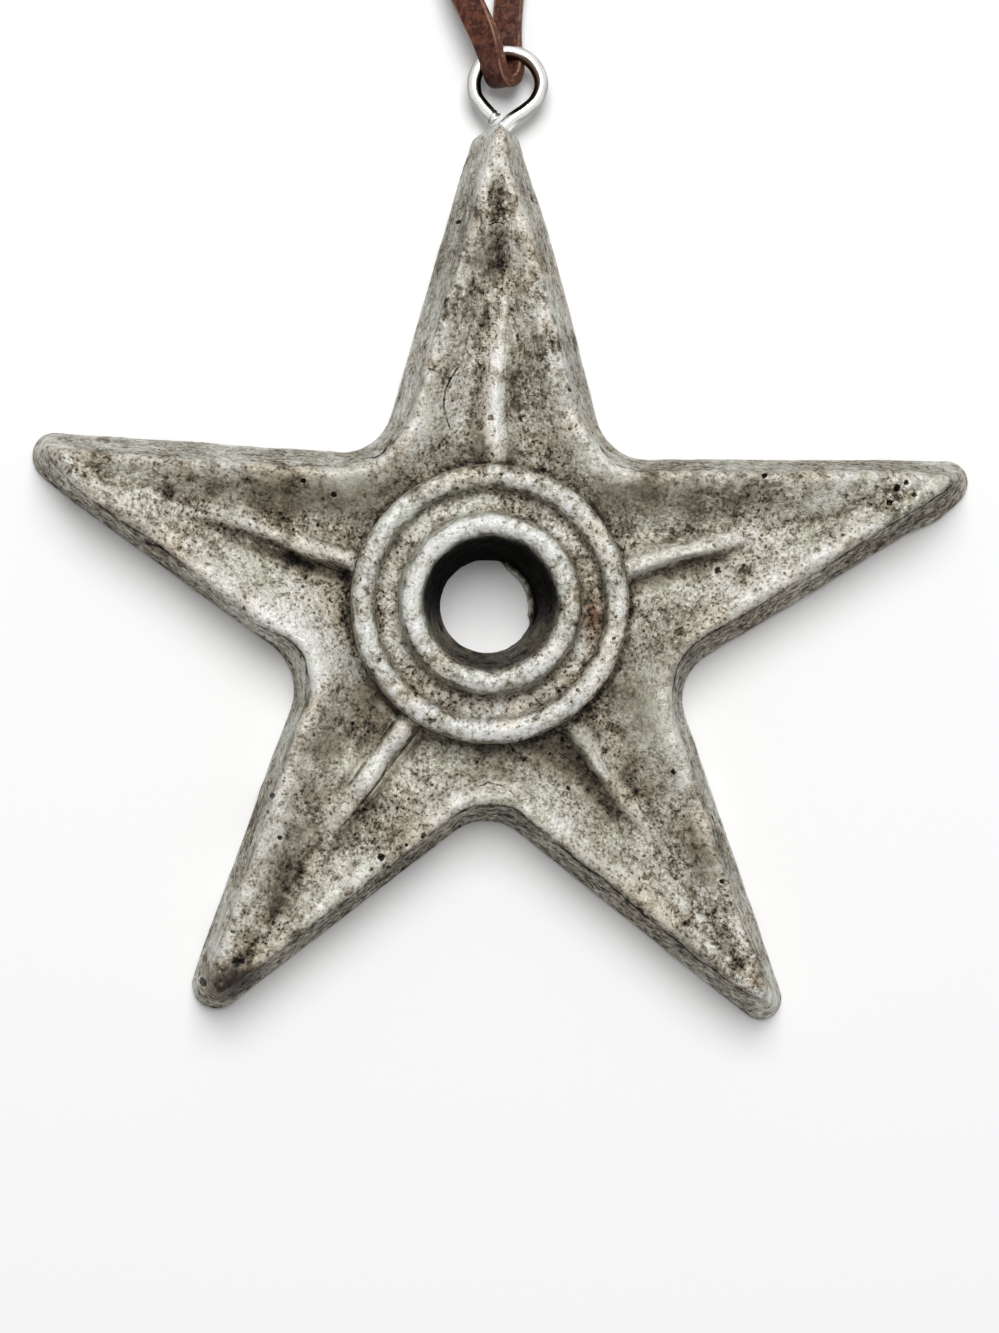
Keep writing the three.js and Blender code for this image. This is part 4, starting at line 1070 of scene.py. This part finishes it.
def castMetal(c):
    material, tree, shader = newMaterial("castMetal", {"IOR": 1.5})
    place = objectPlace(tree)
    hollow, pitted, wall, rubbed, bead, shadedSide, drawn, stainAndShade, rust, crust, pit, crackSide, crackAway = (
        pointValue(tree, name) for name in (
            "hollow", "pitted", "wall", "rubbed", "bead", "shadedSide", "drawn", "stainAndShade", "rust", "crust",
            "pit", "crackSide", "crackAway"))
    # on the outer wall the marks of drawing it from the mould run along it
    wall = wall * remap(stainAndShade, 1.2, 0.8)
    lengthwise = vectorCalc("MULTIPLY", pointValue(tree, "alongArm", "Vector"), c["streakShape"])
    fine, blotch, crusty, streak = (useGrain(*of) for of in (
        (place, c["grainSize"], 2), (place, c["blotchSize"], 31), (place, c["crustSize"], 59),
        (lengthwise, c["streakSize"], 47)))
    cloud = blotch["Cloud"]
    sandy = (remap(hollow, -0.16, 0, 0.75, 1) * remap(wall, 0, 1, 1, 0.8)
             * remap(rubbed, 0, 1, 1, 0.95) * remap(stainAndShade, 0.1, 0.8, 1, 0.5))
    smeared = remap(stainAndShade, 0.2, 0.9, 1, 0.65)
    # the dirt lies in drifts: some stretches are nearly clean
    drift = noiseOn(place, 1 / (c["driftSize"] * mm), 3, 0.6, 71)
    dirty = sandy * remap(drift, 0.42, 0.6, 0.12, 1.2)
    crest = remap(hollow, -0.04, -0.2)
    deep = remap(hollow, 0.02, 0.22) * remap(stainAndShade, -0.5, -0.1)
    along = calc("MAXIMUM", wall * 0.42, drawn)
    # painted shade: the walls that face away from the lamp are darker, and a dark crease is painted under the
    # rim, strongest on those walls
    shadedWall, upperWall = wall * shadedSide, wall * remap(shadedSide, 0, 0.5, 1, 0)
    height = splitVector(place)[2] / mm
    creaseShade = remap(abs(height - remap(streak["Cloud"], 0.3, 0.7, 6.6, 8.2, "LINEAR")), 0.5, 0.15)
    creaseShade = creaseShade * wall * remap(shadedSide, 0, 0.6, 0.25, 1) * remap(cloud, 0.6, 0.45, 0.3, 1)
    # painted shade low down, where the casting meets the floor, more on the side away from the lamp
    footShade = remap(height, 1.3, 0.4) * remap(shadedSide, 0, 0.6, 0.5, 1.4)
    # small holes from gas in the metal
    perMeter = 1 / (c["pinholes"] * mm)
    size = remap(splitVector(cellsOn(place, perMeter, "Color"))[1], 0.35, 1, 0, 0.17, "LINEAR")
    hole = remap(cellsOn(place, perMeter), size * 1.3, size * 0.8) * calc("GREATER_THAN", size, 0.04)
    hole = hole * remap(drift, 0.4, 0.55, 0.3, 1)
    pit = pit + fine["Grain"] * 1.2
    crack = remap(abs(crackSide), 1.1, 0.6) * remap(crackAway, 3.5, 2.5) * remap(blotch["Grain"], -0.12, 0.02)

    tone = weighed(remap(cloud, 0.35, 0.65, 0.525, 0.74), [
        (remap(drift, 0.35, 0.65, 0.5, -0.5, "LINEAR"), 0.14),
        (rubbed, 0.1),
        (fine["Grain"] * sandy, 1.3),
        (fine["Flecks"] * sandy, 0.15),
        (fine["Specks"] * dirty, -0.3),
        (fine["Curls"] * sandy, -0.14),
        (blotch["Grain"] * smeared * remap(wall, 0, 1, 0.8, 0.75), 1),
        (blotch["Specks"] * dirty * remap(bead, 0, 1, 1, 0.4), -0.14),
        (blotch["Curls"] * remap(drift, 0.35, 0.55), -0.2),
        # the beads' rough crowns, chips in them and their dark edges
        (crusty["Grain"] * bead, 1.3),
        (bead * remap(blotch["Grain"], -0.16, -0.2), -0.3),
        (bead * (1 - bead) * remap(blotch["Grain"], 0.1, -0.15, 0.2, 1.2), -0.7),
        # crust
        (crusty["Grain"] * crust, 1.5),
        (crusty["Flecks"] * crust, 0.42),
        (crusty["Curls"] * crust, -0.25),
        (crust, -0.14),
        # crests and hollows, and the walls
        (crest * remap(cloud, 0.35, 0.6, 0.5, 1), 0.14),
        (deep * remap(cloud, 0.6, 0.4, 0.3, 1), -0.08),
        (streak["Grain"] * along, 0.7),
        (streak["Specks"] * along, -0.14),
        # painted shade on the walls away from the lamp, in the crease under the rim and at the foot
        (shadedWall, -0.14),
        (crusty["Grain"] * shadedWall, 1.4),
        (crusty["Curls"] * shadedWall, -0.3),
        (upperWall, -0.07),
        (creaseShade, -0.42),
        (footShade, -0.2),
        # stains, and the painted shade under the upper rims, beside the ribs and in the bore, darken; bare
        # metal lightens
        (stainAndShade, remap(cloud, 0.3, 0.7, -0.18, -0.28, "LINEAR")),
        # holes, the pits with a bright lip, and cracks
        (hole, -0.45),
        (remap(pitted, 0.02, 0.06), -0.22),
        (remap(pit, 1.15, 0.8), -0.42),
        (remap(abs(pit - 1.25), 0.28, 0.05), 0.08),
        (crack, -0.5)])

    color = colorOf(tone, c["tones"])
    color = mixColor(bead, color, c["bead"], "MULTIPLY")
    color = mixColor(remap(drift, 0.5, 0.66), color, c["warm"], "MULTIPLY")
    color = mixColor(remap(drift, 0.46, 0.34), color, c["green"], "MULTIPLY")
    rusty = mixColor(remap(tone, 0.25, 0.75), c["darkRust"], c["rust"])
    color = mixColor(rust * remap(fine["Cloud"], 0.32, 0.54, 0.45, 1), color, rusty)
    color = mixColor(upperWall, color, c["drawn"], "MULTIPLY")
    fill(shader, {"Base Color": color, "Roughness": remap(tone, -0.1, 0.75, 0.9, 0.56),
                  "Metallic": remap(tone, -0.05, 0.45, 0, 0.25),
                  "Specular IOR Level": remap(tone, -0.3, 0.3, 0.05, 0.5)})
    relief = weighed(fine["Height"] * sandy, [
        (blotch["Height"], 0.5), (streak["Height"] * along, 0.5),
        (crusty["Height"] * calc("MAXIMUM", crust, shadedWall), 1.8), (hole, -0.4), (crack, -0.6)])
    bump(shader, relief, 1, c["bump"])
    return material


wire = {
    "bright": (0.93, 0.92, 0.89),
    "dull": (0.52, 0.5, 0.46),
    "wireSideShadeColor": (0.24, 0.235, 0.21),        # painted shade on its sides
    "dark": (0.04, 0.034, 0.028),       # painted shade and dark reflection inside the ring, and where it is brown there
    "brown": (0.12, 0.085, 0.06),
    "grainSize": 0.5,           # mm
    "bump": 0.01,
}


def eyeMetal(c):
    # the wire's top is polished; painted shade greys its sides and makes the ring's inside nearly black
    material, tree, shader = newMaterial("eyeMetal", {"Metallic": 1})
    fine = useGrain(objectPlace(tree), c["grainSize"], 11)
    inside, wireSideShade, brown = (pointValue(tree, name) for name in ("inside", "wireSideShade", "brown"))
    color = mixColor(fine["Specks"] * 0.25, c["bright"], c["dull"])
    # painted grey shade on the wire's sides, and painted shade and dark reflection inside the ring
    color = mixColor(wireSideShade * 0.9, color, c["wireSideShadeColor"])
    color = mixColor(inside, color, mixColor(brown, c["dark"], c["brown"]))
    fill(shader, {"Base Color": color, "Roughness": remap(fine["Cloud"], 0.35, 0.65, 0.14, 0.26)})
    bump(shader, fine["Height"], 0.3, c["bump"])
    return material


leather = {
    "dark": (0.036, 0.009, 0.006),
    "light": (0.12, 0.04, 0.023),
    "fleck": (0.23, 0.1, 0.065),
    "speck": (0.03, 0.01, 0.008),
    "cut": (0.1, 0.036, 0.02),          # the cut edges
    "cutFleck": (0.24, 0.12, 0.075),
    "bevel": (0.36, 0.2, 0.135),        # painted highlight on the corners between face and edge
    "grainSize": 0.28,          # mm
    "creaseSize": 0.6,
    "poresPerMeter": 2600,
    "bump": 0.06,
}


def laceLeather(c):
    material, tree, shader = newMaterial("laceLeather", {"IOR": 1.45, "Specular IOR Level": 0.2})
    place, edge = objectPlace(tree), pointValue(tree, "edge")
    fine, coarse = useGrain(place, c["grainSize"], 17), useGrain(place, c["creaseSize"], 23)
    face = mixColor(remap(coarse["Grain"], -0.12, 0.12), c["dark"], c["light"])
    face = mixColor(coarse["Flecks"] * 0.4, face, c["fleck"])
    face = mixColor(fine["Specks"] * 0.6, face, c["speck"])
    cut = mixColor(coarse["Flecks"], c["cut"], c["cutFleck"])
    color = mixColor(remap(edge, 0.93, 0.99), face, cut)
    # painted highlight along the corners between the face and the cut edge, in patches
    bevel = remap(edge, 0.83, 0.88) * remap(edge, 0.985, 0.95)
    color = mixColor(bevel * remap(fine["Cloud"], 0.35, 0.6, 0.1, 0.7), color, c["bevel"])
    fill(shader, {"Base Color": color, "Roughness": remap(fine["Cloud"], 0.3, 0.7, 0.42, 0.62)})
    pores = remap(cellsOn(place, c["poresPerMeter"]), 0, 0.25, 0, 0.5)
    bump(shader, fine["Height"] + pores + coarse["Grain"], 0.8, c["bump"])
    return material


castMetalMade, eyeMetalMade, leatherMade = castMetal(cast), eyeMetal(wire), laceLeather(leather)
laceStrap.data.materials.append(leatherMade)
starCasting = makeStar(star, castMetalMade)
print(f"star cast, {len(starCasting.data.polygons)} faces")


# Screw eye, one bent wire: a cut end, the ring, and the shank in the arm's end

def makeEye(e):
    radius, half = (e["outside"] - e["wire"]) / 2, e["wire"] / 2
    side, down = e["shankSide"], -e["toTip"]
    ring = [(radius * math.cos(a), radius * math.sin(a)) for a in np.radians(range(198, -21, -28))]
    bends = [*e["cutEnd"], (-radius * 0.79, -radius * 0.56), *ring, (radius * 0.84, -radius * 0.43)]
    bends += [*e["neck"], *((side, down - depth) for depth in (1.0, e["shankDepth"] * 0.5, e["shankDepth"]))]
    line = splineThrough(np.c_[np.array(bends), np.zeros(len(bends))], 12)
    line = evenSteps(line, e["step"])[0] + e["middle"]
    turn = np.linspace(0, 2 * np.pi, e["sides"], endpoint=False)
    circle = np.c_[np.cos(turn), np.sin(turn)] * half
    up = np.tile((0.0, 0.0, 1.0), (len(line), 1))

    def section(i):
        # the cut end is pinched by the cutter, and the shank runs to a point
        pinch = max(0.0, 1 - i / 7)
        point = min(1.0, (len(line) - 1 - i) / 9 + 0.25)
        burr = 1 + 0.2 * pinch * np.sin(3 * turn + 1.7 * i)[:, None]
        return circle * burr * (point * (1 - 0.05 * pinch), point * (1 - 0.3 * pinch ** 2))

    obj = sweep("eyeWire", line, up, section)
    points = readPoints(obj)
    middle = np.vstack([np.repeat(line, e["sides"], 0), line[:1], line[-1:]])
    facing = unit(points - middle)
    inward = unit((e["middle"] - middle) * (1, 1, 0))
    onRing = fade(middle[:, 1] - e["middle"][1], down - 0.2, down + 1.0)
    wobble = 0.08 * np.sin(points[:, 0] * 2.1) * np.sin(points[:, 1] * 1.7)
    brown = fade(unit(middle - e["middle"])[:, :2].sum(1), 0.6, 1.2)
    # painted shade and dark reflection on the ring's inside, browner at its upper right; painted grey shade
    # on its sides
    storePoints(obj, "inside", fade((facing * inward).sum(1) + wobble + 0.12 * brown, 0.12, 0.38) * onRing)
    storePoints(obj, "wireSideShade", fade(facing[:, 2] + wobble, 0.88, 0.5) * onRing)
    storePoints(obj, "brown", brown)
    return obj


eyeWire = makeEye(eye)
eyeWire.data.materials.append(eyeMetalMade)
print("eye bent")


# Floor, daylight from the top of the picture, and a pale room

studio = {
    "floorWidth": 6,            # m
    "floorGap": 0.05,           # mm under the star's back
    "floorColor": 0.94,
    "floorGlow": 0.05,
    "roomLight": 0.27,
    "roomMirrored": 0.8,
    "lampPower": 9.25,
    "lampPlace": (0.0, 0.48, 0.88),     # m
    "lampSize": 0.6,
}


def makeFloor(s):
    bpy.ops.mesh.primitive_plane_add(size=s["floorWidth"], location=(0, 0, -s["floorGap"] * mm))
    floor = bpy.context.active_object
    floor.name = "floor"
    paint = {"Roughness": 0.9, "Specular IOR Level": 0.1, "Base Color": (*(s["floorColor"],) * 3, 1),
             "Emission Color": (1, 1, 1, 1)}
    material, tree, shader = newMaterial("floorPaint", paint)
    # it glows a little for rays that see it: the camera's, and those that metal mirrors
    path = wiresOf(addNode(tree, "ShaderNodeLightPath"))
    seen = calc("MAXIMUM", path["Is Glossy Ray"], path["Is Transmission Ray"])
    fill(shader, {"Emission Strength": calc("MAXIMUM", path["Is Camera Ray"], seen) * s["floorGlow"]})
    # from underneath the floor is clear, so the ornament's back can be seen
    sides = {0: fromNode(tree, "ShaderNodeNewGeometry", output="Backfacing"), 1: Wire(shader.outputs[0]),
             2: fromNode(tree, "ShaderNodeBsdfTransparent")}
    end = next(node for node in tree.nodes if node.type == "OUTPUT_MATERIAL")
    fill(end, {"Surface": fromNode(tree, "ShaderNodeMixShader", sides)})
    floor.data.materials.append(material)


def makeRoom(s):
    world = bpy.data.worlds.new("room")
    scene.world = world
    world.use_nodes = True
    tree = world.node_tree
    back = tree.nodes["Background"] if "Background" in tree.nodes else addNode(tree, "ShaderNodeBackground")
    path = wiresOf(addNode(tree, "ShaderNodeLightPath"))
    seen = calc("MAXIMUM", path["Is Camera Ray"], path["Is Transmission Ray"])
    light = remap(path["Is Glossy Ray"], 0, 1, s["roomLight"], s["roomMirrored"], "LINEAR")
    fill(back, {"Color": (1, 1, 1, 1), "Strength": remap(seen, 0, 1, light, 1, "LINEAR")})
    lamp = bpy.data.lights.new("window", "AREA")
    lamp.energy = s["lampPower"]
    lamp.size = s["lampSize"]
    obj = addObject("window", lamp)
    obj.location = s["lampPlace"]
    obj.rotation_euler = (-Vector(s["lampPlace"])).to_track_quat("-Z", "Y").to_euler()


makeFloor(studio)
makeRoom(studio)

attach(starCasting, "star")
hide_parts("star_casting")
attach(eyeWire, "star")
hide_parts("screw_eye")
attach(laceStrap, "lace_loop")
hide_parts("leather_lace", "lace_knot")
